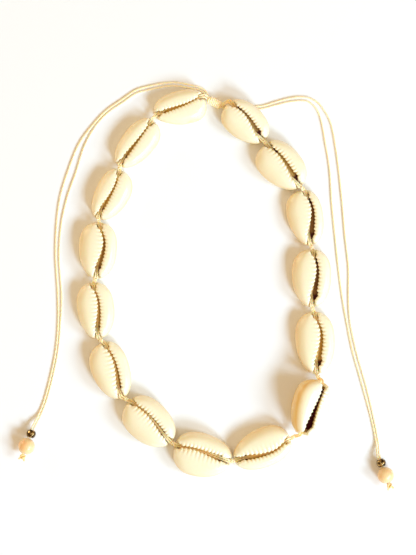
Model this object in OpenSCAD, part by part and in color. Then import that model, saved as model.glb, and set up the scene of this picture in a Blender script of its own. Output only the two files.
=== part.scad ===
// Cowrie shell necklace
// Fifteen sliced cowries lie with the slit up on two parallel waxed cords.
// A small knot stands between each pair of shells. A sliding knot closes the loop at the top, and two
// cords leave each end of it as tails with a metal bead, a wooden bead and an end knot.
// Millimetres, +Z up, the necklace lies on z = 0 and its longest way is along Y.

/* [Shells] */
// Height of a shell as a share of its width
height_ratio = 0.47; // [0.42:0.01:0.52]
// Thickness of the shell wall at the ground rim
shell_wall = 1.5; // [1.3:0.1:1.7]
// Thickness of the rolled lips along the slit
lip_thickness = 1.7; // [1.4:0.1:1.9]
// Half width of the slit near the blunt end
slit_half_blunt = 0.5; // [0.4:0.05:0.7]
// Half width of the slit near the narrow end
slit_half_narrow = 1.15; // [0.9:0.05:1.3]
// How far each tooth reaches into the slit
tooth_depth = 0.28; // [0:0.02:0.35]
// Height of the floor of the notch at each end of a shell
notch_floor = 1.9; // [1.6:0.1:2.1]

/* [Cord] */
// Diameter of the waxed cord
cord_d = 0.8; // [0.6:0.05:0.85]
// Distance between the two cords, centre to centre
cord_pitch = 0.9; // [0.86:0.01:0.95]
// Height of the cords in the notches of a shell
cord_z = 3.15; // [3:0.05:3.3]

/* [Knots] */
// Largest diameter of a knot between two shells
string_knot_d = 2.0; // [1.9:0.05:2.1]
// Length of a knot between two shells
string_knot_l = 1.7; // [1.5:0.1:1.9]
// Diameter over the wraps of the sliding knot
sliding_knot_d = 3.6; // [3.2:0.1:3.8]
// Number of wraps round the sliding knot
sliding_knot_wraps = 8; // [7:1:9]
// Diameter of the knot at the end of a tail
end_knot_d = 2.6; // [2.2:0.1:3]

/* [Beads] */
// Diameter of a metal bead
metal_bead_d = 4; // [3.6:0.1:4.2]
// Diameter of a wooden bead
wood_bead_d = 6.9; // [6.5:0.1:7.2]
// Diameter of the hole through a bead
bead_bore_d = 2; // [1.9:0.05:2.2]

/* [Hidden] */

// Sections round a shell, points in one section, and sides of a cord
rounds = 40;
section_points = 10;
cord_sides = 8;
// Exponent of the oval outline, and how much wider each of its sides is toward the blunt end
outline_power = 0.9;
columella_taper = 0.18;
lip_taper = 0.05;
// How far the two lips stop short of the tips, and half the width between them there
lip_inset = 1.3;
notch_half = 1.12;
// The inner whorl under the slit: how far its crest reaches past the slit, and the heights of the groove
// beside it and of the crest
whorl_reach = 0.5;
whorl_groove = 2.6;
whorl_crest = 2.1;
// Where along a shell its cords arch highest, from 1 at the blunt tip to -1 at the narrow one, how far
// they follow the bow of the slit, and how far their middle stays below the underside of the lips there
arch_v = 0.15;
arch_follow = 0.8;
arch_below_lip = 0.65;
// Length of the straight part of a bead's cord before and after the bead
bead_reach = 0.9;
shell_colour = [0.98, 0.93, 0.82];
cord_colour = [0.95, 0.88, 0.70];
metal_colour = [0.62, 0.48, 0.30];
wood_colour = [0.95, 0.82, 0.64];

// Columns of the shell table: the blunt tip's x and y, the narrow tip's x and y, the half widths on the
// columella side and on the lip side, how far the slit bows to the lip side, how far the outline leans
// to the lip side at its blunt end, the roll and pitch of the shell in degrees, how wide its slit is
// beside the others, and how much more the slit opens at the lip side near the narrow tip
BLUNT_X = 0;
BLUNT_Y = 1;
NARROW_X = 2;
NARROW_Y = 3;
COLUMELLA = 4;
LIP = 5;
BOW = 6;
LEAN = 7;
ROLL = 8;
PITCH = 9;
SLIT_SHARE = 10;
NARROW_HOLE = 11;
SHELLS = [
  [-0.8, 78.4, -21.3, 70.1, 6.2, 8.4, 0.6, 0.35, 0, 0, 0.7, 0],
  [-22.2, 68.1, -36.4, 49.2, 6.2, 7.8, 0.2, 0.15, 0, 0, 0.75, 0],
  [-35.6, 47.3, -45.4, 27.1, 6.0, 8.5, 0.9, 0.1, 0, 0, 0.8, 0],
  [-44.3, 25.3, -45.8, 1.8, 8.1, 8.0, 2.5, 0, 0, 0, 1, 0.2],
  [-47.2, 0.2, -45.0, -23.4, 7.6, 8.0, 1.7, 0, 0, 0, 0.9, 0],
  [-42.3, -24.8, -35.3, -48.3, 8.8, 7.1, 1.5, 0, 4, 0, 0.9, 0],
  [-31.6, -49.1, -14.5, -66.7, 9.6, 8.1, 1.3, 0, 2, 0, 0.85, 0],
  [-12.9, -67.6, 10.6, -74.8, 10.2, 8.2, 1.0, 0, 0, 0, 1, 0.2],
  [35.4, -65.1, 12.0, -74.3, 8.7, 7.6, 2.1, 0, 0, 0, 0.95, 0],
  [48.5, -41.1, 39.4, -63.0, 8.8, 8.2, -0.6, -0.15, 32, 0, 1.5, 0.3],
  [45.6, -12.1, 46.2, -38.1, 8.3, 8.2, 2.4, 0, 0, 0, 1.1, 0.6],
  [45.0, 14.1, 44.3, -10.1, 8.6, 7.9, 1.9, 0, 0, 0, 1.1, 0.6],
  [41.6, 38.9, 43.7, 15.7, 8.4, 6.6, 2.2, -0.1, 0, 0, 1.15, 0.4],
  [25.4, 58.5, 39.5, 40.1, 9.4, 7.9, 1.3, -0.1, 0, 0, 1, 0.5],
  [10.3, 75.7, 24.2, 59.2, 8.4, 7.1, 1.5, -0.15, -2, 4, 0.95, 0.5]
];
SHELL_COUNT = len(SHELLS);
FIRST_TURNED = 8;

// Ends of the sliding knot's axis, and the cords' places on its two flat ends
knot_left = [0.9, 77.1];
knot_right = [6.6, 74.1];
sliding_knot_z = sliding_knot_d / 2;
sliding_core_r = 1.55;
row_height = 0.45;

// Routes of the tails from the sliding knot to the metal bead
TAIL_LEFT_OUTER = [
  [0.7, 79.2, 0.9], [-0.4, 80.9, 0.5], [-3, 82.2, 0.4], [-7, 83.2, 0.4], [-11, 84, 0.4], [-15, 84.1, 0.4],
  [-19.5, 83.5, 0.4], [-24, 82.5, 0.4], [-29, 81, 0.4], [-35, 77, 0.4], [-42, 72, 0.4],
  [-48, 65.5, 0.4], [-53, 58.5, 0.4], [-57.5, 47.5, 0.4], [-61, 36, 0.4], [-62.5, 25, 0.4],
  [-63, 12, 0.4], [-62, -6, 0.4], [-62, -18, 0.4], [-63, -29, 0.4], [-65.5, -41, 0.4],
  [-68, -50, 0.4], [-70, -55, 0.6]
];
TAIL_LEFT_INNER = [
  [0.1, 78.5, 1.0], [-0.9, 80.0, 0.5], [-3, 81.2, 0.4], [-7, 81.9, 0.4], [-11, 82.6, 0.4], [-15, 82.7, 0.4],
  [-19.5, 82, 0.4], [-24, 81, 0.4], [-29, 79.5, 0.4], [-35, 75.5, 0.4], [-42, 70.5, 0.4],
  [-47, 64.5, 0.4], [-51, 57, 0.4], [-54.5, 46, 0.4], [-58, 36, 0.4], [-60.5, 25, 0.4],
  [-61.5, 12, 0.4], [-60.5, -6, 0.4], [-61, -18, 0.4], [-62, -29, 0.4], [-64.5, -41, 0.4],
  [-67, -50, 0.4], [-69.1, -55.2, 0.6]
];
TAIL_RIGHT_OUTER = [
  [8.3, 74.0, 0.7], [11, 73.5, 0.4], [15, 73.6, 0.4], [20, 74, 0.4], [24, 74.3, 0.4],
  [29, 75.8, 0.4], [34, 77.2, 0.4], [39, 78, 0.4], [43, 77.7, 0.4], [47, 75.7, 0.4],
  [50, 72, 0.4], [52.5, 67, 0.4], [55, 54, 0.4], [57, 37, 0.4], [58.5, 20, 0.4],
  [60, 6, 0.4], [60, -6, 0.4], [60.5, -15.5, 0.4], [63, -28, 0.4], [67.5, -44, 0.4],
  [71, -59, 0.4], [72.4, -67, 0.8]
];
TAIL_RIGHT_INNER = [
  [8.1, 73.0, 0.7], [11, 72.3, 0.4], [15, 72.5, 0.4], [20, 72.9, 0.4], [24, 73.1, 0.4],
  [29, 74.4, 0.4], [34, 75.7, 0.4], [39, 76.4, 0.4], [43, 76, 0.4], [46.5, 73, 0.4],
  [48.5, 68, 0.4], [50, 60, 0.4], [52, 48, 0.4], [53, 33, 0.4], [54.5, 18, 0.4],
  [56.5, 0, 0.4], [58, -10, 0.4], [59.5, -18, 0.4], [61.5, -28, 0.4], [66, -44, 0.4],
  [70, -59, 0.4], [71.5, -67, 0.8]
];

// Centres of the wooden beads in plan, and the direction of each tail's end in degrees from +X
bead_left = [-75.0, -68.3];
bead_left_heading = -110;
bead_right = [75.3, -80.5];
bead_right_heading = -70;
bead_slope = 7;

// Plain arithmetic
function mix(a, b, t) = a + (b - a) * t;
function smooth(t) = let (c = max(0, min(1, t))) c * c * (3 - 2 * c);
function signed_power(a, p) = sign(a) * pow(abs(a), p);
function unit(v) = v / norm(v);
function flat_normal(d) = unit([-d.y, d.x, 0]);

// Sizes of one shell from its row
function shell_length(row) = norm([row[BLUNT_X] - row[NARROW_X], row[BLUNT_Y] - row[NARROW_Y]]);
function shell_heading(row) = atan2(row[BLUNT_Y] - row[NARROW_Y], row[BLUNT_X] - row[NARROW_X]) - 90;
function shell_centre(row) = [row[BLUNT_X] + row[NARROW_X], row[BLUNT_Y] + row[NARROW_Y], 0] / 2;

// Oval outline of a shell at an angle from the blunt tip, drawn in by an inset
function outline(row, angle, inset) =
  let (on_lip_side = sin(angle) > 0)
  let (half = on_lip_side ? row[LIP] : row[COLUMELLA])
  let (taper = on_lip_side ? lip_taper + row[LEAN] : columella_taper - row[LEAN])
  [
    (half - inset) * signed_power(sin(angle), outline_power) * (1 + taper * cos(angle)),
    (shell_length(row) / 2 - inset) * signed_power(cos(angle), outline_power)
  ];

// Middle line and half width of the slit, from 1 at the blunt tip to -1 at the narrow one
function slit_middle(row, v) = row[BOW] * 0.93 * pow(max(0, 1 - v * v), 1.5) * (1 + 0.8 * v);
function slit_half(row, v) = mix(
  row[SLIT_SHARE] * mix(slit_half_blunt, slit_half_narrow, smooth((0.5 - v) / 1.2))
    * (1 - 0.3 * smooth((-0.65 - v) / 0.15)),
  notch_half,
  smooth((abs(v) - 0.82) / 0.08)
);
function narrow_hole(row, v) =
  row[NARROW_HOLE] * smooth((-0.44 - v) / 0.12) * smooth((v + 0.84) / 0.1);
function lip_edge(row, angle) =
  let (v = cos(angle))
  let (closing = min(1, abs(sin(angle)) / 0.09))
  [
    slit_middle(row, v)
      + sign(sin(angle)) * slit_half(row, v) * closing
      + (sin(angle) > 0 ? narrow_hole(row, v) : 0),
    (shell_length(row) / 2 - lip_inset) * signed_power(v, outline_power)
  ];

// One closed section of a shell, from the ground rim over the outside and the lip to the inner wall
function section(row, angle, tooth) =
  let (out = outline(row, angle, 0))
  let (inn = outline(row, angle, shell_wall))
  let (edge = lip_edge(row, angle))
  let (v = cos(angle))
  let (top = (row[COLUMELLA] + row[LIP]) * height_ratio * (1 - 0.2 * pow(abs(v), 3)))
  let (rise = smooth((abs(out.x) - 1) / 1.6))
  let (toothed = 1 - smooth((abs(v) - 0.74) / 0.12))
  let (bite = [-sign(sin(angle)) * tooth * tooth_depth * toothed, 0])
  let (lip = lip_thickness * (1 - 0.35 * pow(abs(v), 3)))
  let (whorl = sin(angle) < 0 ? 1 - smooth((abs(v) - 0.9) / 0.08) : 0)
  let (hollow = sin(angle) < 0 ? whorl_groove : 0.56 * top)
  let (crest = [each lip_edge(row, -angle) + [whorl_reach, 0], whorl_crest])
  [
    [each mix(inn, out, 0.55), 0],
    [each out, mix(0.9, 0.38 * top, rise)],
    [each mix(out, edge, 0.09), mix(1.5, 0.68 * top, rise)],
    [each mix(out, edge, 0.36), mix(notch_floor, 0.93 * top, rise)],
    [each mix(out, edge, 0.72), mix(notch_floor, top + 0.1 * tooth, rise)],
    [each edge + bite, mix(notch_floor, 0.93 * top, rise)],
    [each mix(edge, inn, 0.1), mix(notch_floor - 0.7, 0.93 * top - lip, rise)],
    [each mix(edge, inn, mix(0.7, 0.5, whorl)), mix(1.1, hollow, rise)],
    mix([each mix(edge, inn, 0.97), mix(0.7, 0.3 * top, rise)], crest, whorl),
    [each inn, 0]
  ];

// Turn a point of a shell about the line of its cords and place it, without and with the lift to the surface
function turned(row, p) =
  let (r = row[ROLL])
  let (t = row[PITCH])
  let (z = p.z - cord_z)
  let (a = [p.x * cos(r) + z * sin(r), p.y, z * cos(r) - p.x * sin(r)])
  let (b = [a.x, a.y * cos(t) - a.z * sin(t), a.z * cos(t) + a.y * sin(t)])
  let (h = shell_heading(row))
  shell_centre(row) + [b.x * cos(h) - b.y * sin(h), b.x * sin(h) + b.y * cos(h), b.z];
function station(i) = let (u = 360 * i / rounds) u - 11 * sin(2 * u);
function shell_points(row) = [
  for (i = [0 : rounds - 1])
    for (p = section(row, station(i), i % 2 == 0 ? 1 : -1))
      turned(row, p)
];
function lift(row) = -min([for (p = shell_points(row)) p.z]);
function placed(row, p) = turned(row, p) + [0, 0, lift(row)];

// Middle of the box round all shells, which is put at the origin
ALL_POINTS = [for (row = SHELLS) each shell_points(row)];
middle_x = (min([for (p = ALL_POINTS) p.x]) + max([for (p = ALL_POINTS) p.x])) / 2;
middle_y = (min([for (p = ALL_POINTS) p.y]) + max([for (p = ALL_POINTS) p.y])) / 2;

// Closed mesh through equal closed sections: a ring of them, or a tube with two caps
function ring_faces(n, m) = [
  for (i = [0 : n - 1])
    for (j = [0 : m - 1])
      each [
        [i * m + j, ((i + 1) % n) * m + (j + 1) % m, i * m + (j + 1) % m],
        [i * m + j, ((i + 1) % n) * m + j, ((i + 1) % n) * m + (j + 1) % m]
      ]
];
function tube_faces(n, m) = [
  for (i = [0 : n - 2])
    for (j = [0 : m - 1])
      each [
        [i * m + j, (i + 1) * m + (j + 1) % m, i * m + (j + 1) % m],
        [i * m + j, (i + 1) * m + j, (i + 1) * m + (j + 1) % m]
      ],
  [for (j = [0 : m - 1]) j],
  [for (j = [m - 1 : -1 : 0]) (n - 1) * m + j]
];

// Ring of points round a cord, square to its direction
function cord_ring(p, d) =
  let (side = flat_normal(d))
  let (up = cross(d, side))
  [
    for (j = [0 : cord_sides - 1])
      let (a = 360 * (j + 0.5) / cord_sides)
      p + cord_d / 2 * (side * cos(a) + up * sin(a))
  ];

// Directions along a route, with the first and the last one given
function step_way(route, i) = unit(route[i + 1] - route[i]);
function directions(route, first, last) = [
  for (i = [0 : len(route) - 1])
    i == 0 ? first : i == len(route) - 1 ? last : unit(step_way(route, i) + step_way(route, i - 1))
];

module cord_tube(route, ways) {
  polyhedron(
    points = [for (i = [0 : len(route) - 1]) each cord_ring(route[i], ways[i])],
    faces = tube_faces(len(route), cord_sides)
  );
}

// Put a solid that stands along +Z at a point, with its axis along a direction
module along(point, d) {
  translate(point)
    rotate([0, acos(d.z), atan2(d.y, d.x)])
      children();
}

// Which tip of a shell comes first on the way round: the blunt one up to the eighth shell, then the other
function tip_sign(i) = i < FIRST_TURNED ? 1 : -1;
function mouth(i, side, depth) =
  placed(SHELLS[i], [0, side * (shell_length(SHELLS[i]) / 2 - depth), cord_z]);
function way_out(i) = mouth(i, -tip_sign(i), 0);
function way_in(i) = mouth(i, tip_sign(i), 0);

// Knot k stands between shells k and k + 1, and beside a steeply rolled shell it lies nearer the flat one
function is_steep(i) = abs(SHELLS[i][ROLL]) > 20;
function knot_share(k) = is_steep(k) ? 0.66 : is_steep(k + 1) ? 0.34 : 0.5;
function knot_point(k) = mix(way_out(k), way_in(k + 1), knot_share(k));
function knot_way(k) = unit(mouth(k + 1, tip_sign(k + 1), 1.2) - mouth(k, -tip_sign(k), 1.2));
function axis_way() = unit([knot_right.x - knot_left.x, knot_right.y - knot_left.y, 0]);
function sliding_end(side) = [each (side < 0 ? knot_left : knot_right), sliding_knot_z];

// Ends and direction of the two cords in shell i: [start, start direction, end, end direction]
function start_point(i) = i == 0 ? sliding_end(-1) : knot_point(i - 1) + knot_way(i - 1) * string_knot_l / 2;
function start_way(i) = i == 0 ? -axis_way() : knot_way(i - 1);
function end_point(i) =
  i == SHELL_COUNT - 1 ? sliding_end(1) : knot_point(i) - knot_way(i) * string_knot_l / 2;
function end_way(i) = i == SHELL_COUNT - 1 ? -axis_way() : knot_way(i);

// Highest place of the cords in a shell: they arch up under the widest bow of its slit
function arch_place(row) = placed(row, [
  arch_follow * slit_middle(row, arch_v),
  lip_edge(row, acos(arch_v)).y,
  0.93 * (row[COLUMELLA] + row[LIP]) * height_ratio - lip_thickness - arch_below_lip
]);

// Middle line between the two cords in shell i. In the sliding knot they are the upper row over the tails.
upper_row = [0, 0, row_height];
function bend_depth(i) = is_steep(i) ? -0.5 : 0.5;
function string_middle(i) = [
  start_point(i) + (i == 0 ? upper_row : [0, 0, 0]),
  mouth(i, tip_sign(i), i == 0 ? -0.3 : bend_depth(i)),
  if (!is_steep(i)) arch_place(SHELLS[i]),
  mouth(i, -tip_sign(i), i == SHELL_COUNT - 1 ? -0.6 : bend_depth(i)),
  end_point(i) + (i == SHELL_COUNT - 1 ? upper_row : [0, 0, 0])
];

// A line beside a route, at half the pitch of the cords, that keeps its distance round each corner
function beside(way, side) = flat_normal(way) * side * cord_pitch / 2;
function shell_side(i) = tip_sign(i) * (turned(SHELLS[i], [1, 0, 0]) - turned(SHELLS[i], [0, 0, 0]));
function bend_side(i, way) = is_steep(i) ? shell_side(i) : flat_normal(way);
function side_route(i, route, ways, side) = [
  route[0] + beside(ways[0], side),
  for (n = [1 : len(route) - 2])
    let (mitre = max(0.6, ways[n] * step_way(route, n - 1)))
      route[n] + bend_side(i, ways[n]) * side * cord_pitch / 2 / mitre,
  route[len(route) - 1] + beside(ways[len(route) - 1], side)
];

// Bead and end knot places on a tail
function bead_way(heading) = [
  cos(heading) * cos(bead_slope),
  sin(heading) * cos(bead_slope),
  sin(bead_slope)
];
function wood_centre(place) = [each place, wood_bead_d / 2];
function metal_centre(place, heading) =
  wood_centre(place) - bead_way(heading) * ((wood_bead_d + metal_bead_d) / 2 + 0.05);
function end_knot_face(place, heading) = wood_centre(place) + bead_way(heading) * (wood_bead_d / 2 + 0.1);
function bead_entry(place, heading) =
  metal_centre(place, heading) - bead_way(heading) * (metal_bead_d / 2 + bead_reach);
function tail_end_points(place, heading, side) = [
  for (p = [bead_entry(place, heading), end_knot_face(place, heading)])
    p + flat_normal(bead_way(heading)) * side * cord_pitch / 2
];

// The whole necklace is drawn round the measured middle
module at_origin() {
  translate([-middle_x, -middle_y, 0])
    children();
}

module shell(i) {
  row = SHELLS[i];
  rise = lift(row);
  color(shell_colour)
    at_origin()
      translate([0, 0, rise])
        polyhedron(points = shell_points(row), faces = ring_faces(rounds, section_points));
}

module string_side(side) {
  color(cord_colour)
    at_origin()
      for (i = [0 : SHELL_COUNT - 1]) {
        middle = string_middle(i);
        ways = directions(middle, start_way(i), end_way(i));
        cord_tube(side_route(i, middle, ways, side), ways);
      }
}

// A small overhand knot: three rounds of cord on a flat ended core
module string_knot(k) {
  round_r = string_knot_l / 6;
  color(cord_colour)
    at_origin()
      along(knot_point(k), knot_way(k))
        rotate_extrude($fn = 48)
          union() {
            translate([0, -string_knot_l / 2])
              square([string_knot_d / 2 - round_r, string_knot_l]);
            intersection() {
              union() {
                for (n = [-1 : 1])
                  translate([string_knot_d / 2 - round_r - 0.06 * abs(n), n * 2 * round_r])
                    circle(r = round_r, $fn = 32);
              }
              translate([0, -string_knot_l / 2])
                square([string_knot_d, string_knot_l]);
            }
          }
}

// The sliding knot: rounds of cord wrapped on a core, with flat ends where the cords leave
module sliding_knot() {
  length = norm(knot_right - knot_left);
  pitch = length / sliding_knot_wraps;
  round_r = pitch / 2;
  color(cord_colour)
    at_origin()
      along((sliding_end(-1) + sliding_end(1)) / 2, axis_way())
        rotate_extrude($fn = 64)
          union() {
            translate([0, -length / 2])
              square([sliding_core_r, length]);
            for (n = [0 : sliding_knot_wraps - 1])
              translate([sliding_knot_d / 2 - round_r, (n + 0.5) * pitch - length / 2])
                circle(r = round_r, $fn = 32);
          }
}

module tail(route, side, place, heading) {
  ends = tail_end_points(place, heading, side);
  left = place.x < 0;
  way = left ? -axis_way() : axis_way();
  start = sliding_end(left ? -1 : 1) + beside(way, side) - [0, 0, row_height];
  path = [start, each route, each ends];
  color(cord_colour)
    at_origin()
      cord_tube(path, directions(path, way, bead_way(heading)));
}

module bead(centre, way, diameter, colour) {
  color(colour)
    at_origin()
      along(centre, way)
        difference() {
          sphere(d = diameter, $fn = 64);
          cylinder(d = bead_bore_d, h = diameter + 2, center = true, $fn = 32);
        }
}

module metal_bead(place, heading) {
  bead(metal_centre(place, heading), bead_way(heading), metal_bead_d, metal_colour);
}

module wood_bead(place, heading) {
  bead(wood_centre(place), bead_way(heading), wood_bead_d, wood_colour);
}

// The knot that ends a tail: a wrapped lump with the two cut ends of the cord
module end_knot(place, heading) {
  way = bead_way(heading);
  length = end_knot_d * 0.85;
  color(cord_colour)
    at_origin()
      along(end_knot_face(place, heading) + way * length / 2, way)
        union() {
          rotate_extrude($fn = 48)
            union() {
              translate([0, -length / 2])
                square([end_knot_d * 0.36, length]);
              for (n = [-1 : 1])
                translate([end_knot_d / 2 - length / 6 - 0.1 * abs(n), n * length / 3])
                  circle(r = length / 6, $fn = 32);
            }
          for (side = [-1, 1])
            translate([0, side * 0.45, length / 2 - 0.3])
              rotate([-side * 25, 0, 0])
                cylinder(d = cord_d, h = 1.3, $fn = 24);
        }
}

shell(0);  // shell_01
shell(1);  // shell_02
shell(2);  // shell_03
shell(3);  // shell_04
shell(4);  // shell_05
shell(5);  // shell_06
shell(6);  // shell_07
shell(7);  // shell_08
shell(8);  // shell_09
shell(9);  // shell_10
shell(10);  // shell_11
shell(11);  // shell_12
shell(12);  // shell_13
shell(13);  // shell_14
shell(14);  // shell_15
string_knot(0);  // string_knot_01
string_knot(1);  // string_knot_02
string_knot(2);  // string_knot_03
string_knot(3);  // string_knot_04
string_knot(4);  // string_knot_05
string_knot(5);  // string_knot_06
string_knot(6);  // string_knot_07
string_knot(7);  // string_knot_08
string_knot(8);  // string_knot_09
string_knot(9);  // string_knot_10
string_knot(10);  // string_knot_11
string_knot(11);  // string_knot_12
string_knot(12);  // string_knot_13
string_knot(13);  // string_knot_14
string_side(1);  // string_outer
string_side(-1);  // string_inner
sliding_knot();
tail(TAIL_LEFT_OUTER, -1, bead_left, bead_left_heading);  // tail_left_outer
tail(TAIL_LEFT_INNER, 1, bead_left, bead_left_heading);  // tail_left_inner
tail(TAIL_RIGHT_OUTER, 1, bead_right, bead_right_heading);  // tail_right_outer
tail(TAIL_RIGHT_INNER, -1, bead_right, bead_right_heading);  // tail_right_inner
metal_bead(bead_left, bead_left_heading);  // metal_bead_left
wood_bead(bead_left, bead_left_heading);  // wood_bead_left
end_knot(bead_left, bead_left_heading);  // end_knot_left
metal_bead(bead_right, bead_right_heading);  // metal_bead_right
wood_bead(bead_right, bead_right_heading);  // wood_bead_right
end_knot(bead_right, bead_right_heading);  // end_knot_right
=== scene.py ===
"""Dress the cowrie shell necklace: sliced shells, waxed cords, knots and beads."""

import logging
import math
import random
from dataclasses import dataclass
from enum import Enum
from typing import TypeVar

import bpy
from mathutils import Matrix, Vector


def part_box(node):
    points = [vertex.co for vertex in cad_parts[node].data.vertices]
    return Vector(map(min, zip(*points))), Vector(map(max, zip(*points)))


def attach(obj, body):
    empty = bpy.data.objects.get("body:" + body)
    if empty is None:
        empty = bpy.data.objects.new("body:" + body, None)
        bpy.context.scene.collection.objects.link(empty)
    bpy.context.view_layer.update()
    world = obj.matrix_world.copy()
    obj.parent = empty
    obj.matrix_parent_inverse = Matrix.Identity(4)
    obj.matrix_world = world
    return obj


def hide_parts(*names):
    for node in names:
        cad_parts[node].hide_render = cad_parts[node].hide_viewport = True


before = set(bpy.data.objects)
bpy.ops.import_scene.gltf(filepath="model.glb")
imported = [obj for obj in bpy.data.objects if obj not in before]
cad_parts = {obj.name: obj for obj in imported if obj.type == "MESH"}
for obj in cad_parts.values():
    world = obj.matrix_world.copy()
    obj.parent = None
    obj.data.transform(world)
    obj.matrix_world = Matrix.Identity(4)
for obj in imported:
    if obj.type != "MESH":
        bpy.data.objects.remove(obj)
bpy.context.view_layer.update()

LOG = logging.getLogger("necklace")
TURN = 2 * math.pi
LEAST_CHORD = 1e-6

Amount = TypeVar("Amount", float, Vector)
Colour = tuple[float, float, float]

# The cords: lengths in metres, the strands' turns in a metre, and how many sides a section has
CORD_RADIUS = 0.0004
CORD_PITCH = 0.0009
CORD_HEIGHT = 0.00315
CORD_STEP = 0.0004
CORD_SIDES = 18
STRAND_RELIEF = 0.00004
STRAND_TWIST = 170.0
BEND_REACH = 0.0007
LEAST_MITRE = 0.6

# Height over which a threaded cord turns paler downwards, from the amber painted as the slits' shade to its
# lit colour, and its two colours below that: strands and painted groove shade
LIT_RISE = 0.0015
LIT_CORD_LIGHT = (1.0, 0.92, 0.68)
LIT_CORD_DARK = (1.0, 0.77, 0.40)

# Places along a shell run from 1 at the blunt tip to -1 at the narrow one. A pair of them is where a soft
# step starts and where it ends. First how the cords arch up under the slit
ARCH_CREST = 0.15
ARCH_REACH_BLUNT = 0.83
ARCH_REACH_NARROW = 1.13
ARCH_STATIONS = (0.72, 0.5, 0.3, 0.1, -0.12, -0.35, -0.58, -0.78)
ARCH_FOLLOW = 0.88
ARCH_BELOW_LIP = 0.00065
ARCH_SHIFT_DROP = 0.5

# The shells' common shape: walls, insets and heights in metres, the rest as shares
RIM_WALL = 0.0015
LIP_WALL = 0.0017
HEIGHT_RATIO = 0.47
EDGE_HEIGHT = 0.93
TIP_DROP = 0.2
TIP_THINNING = 0.35
OUTLINE_POWER = 0.9
COLUMELLA_TAPER = 0.18
LIP_TAPER = 0.05
LIP_INSET = 0.0013
NOTCH_HALF = 0.00112
NOTCH_FLOOR = 0.0019
WHORL_REACH = 0.0005
STEEP_REACH = 0.0032
WHORL_GROOVE = 0.0026
WHORL_CREST = 0.0021
SLIT_HALF_BLUNT = 0.0005
SLIT_HALF_NARROW = 0.00115
SLIT_LOSS = 0.3
SLIT_CLOSING = 0.09
BOW_SHARE = 0.93
BOW_POWER = 1.5
BOW_SKEW = 0.8
STEEP_ROLL = 20.0
FIRST_TURNED = 8

# Soft steps from a shell's middle to either tip, and the one that lifts a tip's notch, over metres of width
SHIFT_FADE = (0.6, 0.88)
TEETH_FADE = (0.76, 0.88)
NOTCH_TINT = (0.8, 0.86)
NOTCH_START = (0.82, 0.9)
WHORL_FADE = (0.92, 0.985)
TIP_RISE = (0.001, 0.0026)

# Soft steps between the blunt tip and the narrow one
SLIT_WIDENS = (0.5, -0.7)
SLIT_NARROWS = (-0.65, -0.8)
HOLE_OPENS = (-0.44, -0.56)
HOLE_CLOSES = (-0.84, -0.74)
BLUNT_SHADE = (0.42, 0.58)
NARROW_SHADE = (-0.52, -0.66)

# How long the tangent at a section's key point may be, and how tan the lip side is, tan that is partly
# painted shade, as shares
LONGEST_TANGENT = 1.15
LIP_TAN = 0.75

# Places and soft steps across a section, in key points from the ground rim over the lip to the inner wall
# The flanks' tan, partly painted shade, is full at the ground rim and fades upwards
TAN_FADE = (2.9, 0.5)
NOTCH_PLACE = 5.2
TOOTH_RISE = (3.9, 4.8)
TOOTH_FALL = (6.5, 5.6)
RIB_START = 3.45
RIB_UNEVEN = 0.4
RIB_WANDER = 97
RIB_CREST = 4.9
RIB_FALL = (5.7, 5.0)
# Where the hollow's painted shade ends, before the whorl's underside
HOLLOW_FADE = (8.0, 8.5)

# Where a section's points lie, counted in key points too: over the flank, round the lip and in the hollow
SECTION_PLACES = [
    0.0, 0.45, 0.8, 1.1, 1.4, 1.7, 2.0, 2.3, 2.65, 3.0, 3.3, 3.6, 3.9,
    4.12, 4.34, 4.54, 4.72, 4.88, 5.02, 5.18, 5.36, 5.56, 5.78,
    6.05, 6.4, 6.8, 7.2, 7.6, 8.0, 8.5, 9.0,
]

# Teeth and ribs of a shell of the usual length, in metres, and how the lip side's teeth differ in step
USUAL_LENGTH = 0.024
TOOTH_LENGTH = 0.00038
RIB_HEIGHT = 0.00017
TOOTH_LEAN = 0.25
LIP_STRETCH = 0.05
LIP_OFFSET = 0.02

# The shells' colours across a section, from the ground rim over the lip to the inner wall
GLAZE_STOPS = [
    (0.0, (0.98, 0.85, 0.54)),
    (0.13, (0.99, 0.88, 0.61)),
    # A thin darker band on the flank: painted shade along the shell's marginal ridge
    (0.18, (0.94, 0.74, 0.41)),
    (0.25, (0.98, 0.86, 0.60)),
    (0.38, (0.99, 0.90, 0.65)),
    (0.50, (0.99, 0.90, 0.66)),
    (0.545, (0.98, 0.87, 0.60)),
    (0.60, (0.92, 0.68, 0.27)),
    (0.66, (0.92, 0.63, 0.18)),
    (0.78, (0.94, 0.65, 0.16)),
    (1.0, (0.80, 0.52, 0.22)),
]
# Tan of the flanks: partly the shell's own tone, partly painted shade on the sides
TAN_SHADE_COLOUR = (0.93, 0.76, 0.48)
SPECKLE_COLOUR = (0.74, 0.52, 0.28)
# Near black, painted into the hollow as its shade
HOLLOW_SHADE_COLOUR = (0.07, 0.014, 0.010)

# Painted glow of the shells' hollows: a golden one on the inner walls, as if light came through the thin
# shell, and a maroon one where painted shade darkens the hollow
PAINTED_WALL_GLOW = 0.075
PAINTED_DARK_GLOW = 0.015

# The small knots between the shells and how the cords reach them, in metres and shares
KNOT_LENGTH = 0.0017
KNOT_RADIUS = 0.001
KNOT_CORD = 0.00034
KNOT_TURN = 1.3
KNOT_FROM_STEEP = 0.66
MOUTH_DEPTH = 0.0012
BEND_DEPTH = 0.0005

# The sliding knot and how the cords leave it, in metres
SLIDING_START = Vector((0.0009, 0.0771))
SLIDING_END = Vector((0.0066, 0.0741))
SLIDING_RADIUS = 0.0018
SLIDING_WRAPS = 8
SLIDING_LEAD = 0.0008
FIRST_BEND = 0.0003
LAST_BEND = 0.0006
ROW_HEIGHT = 0.00045

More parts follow.
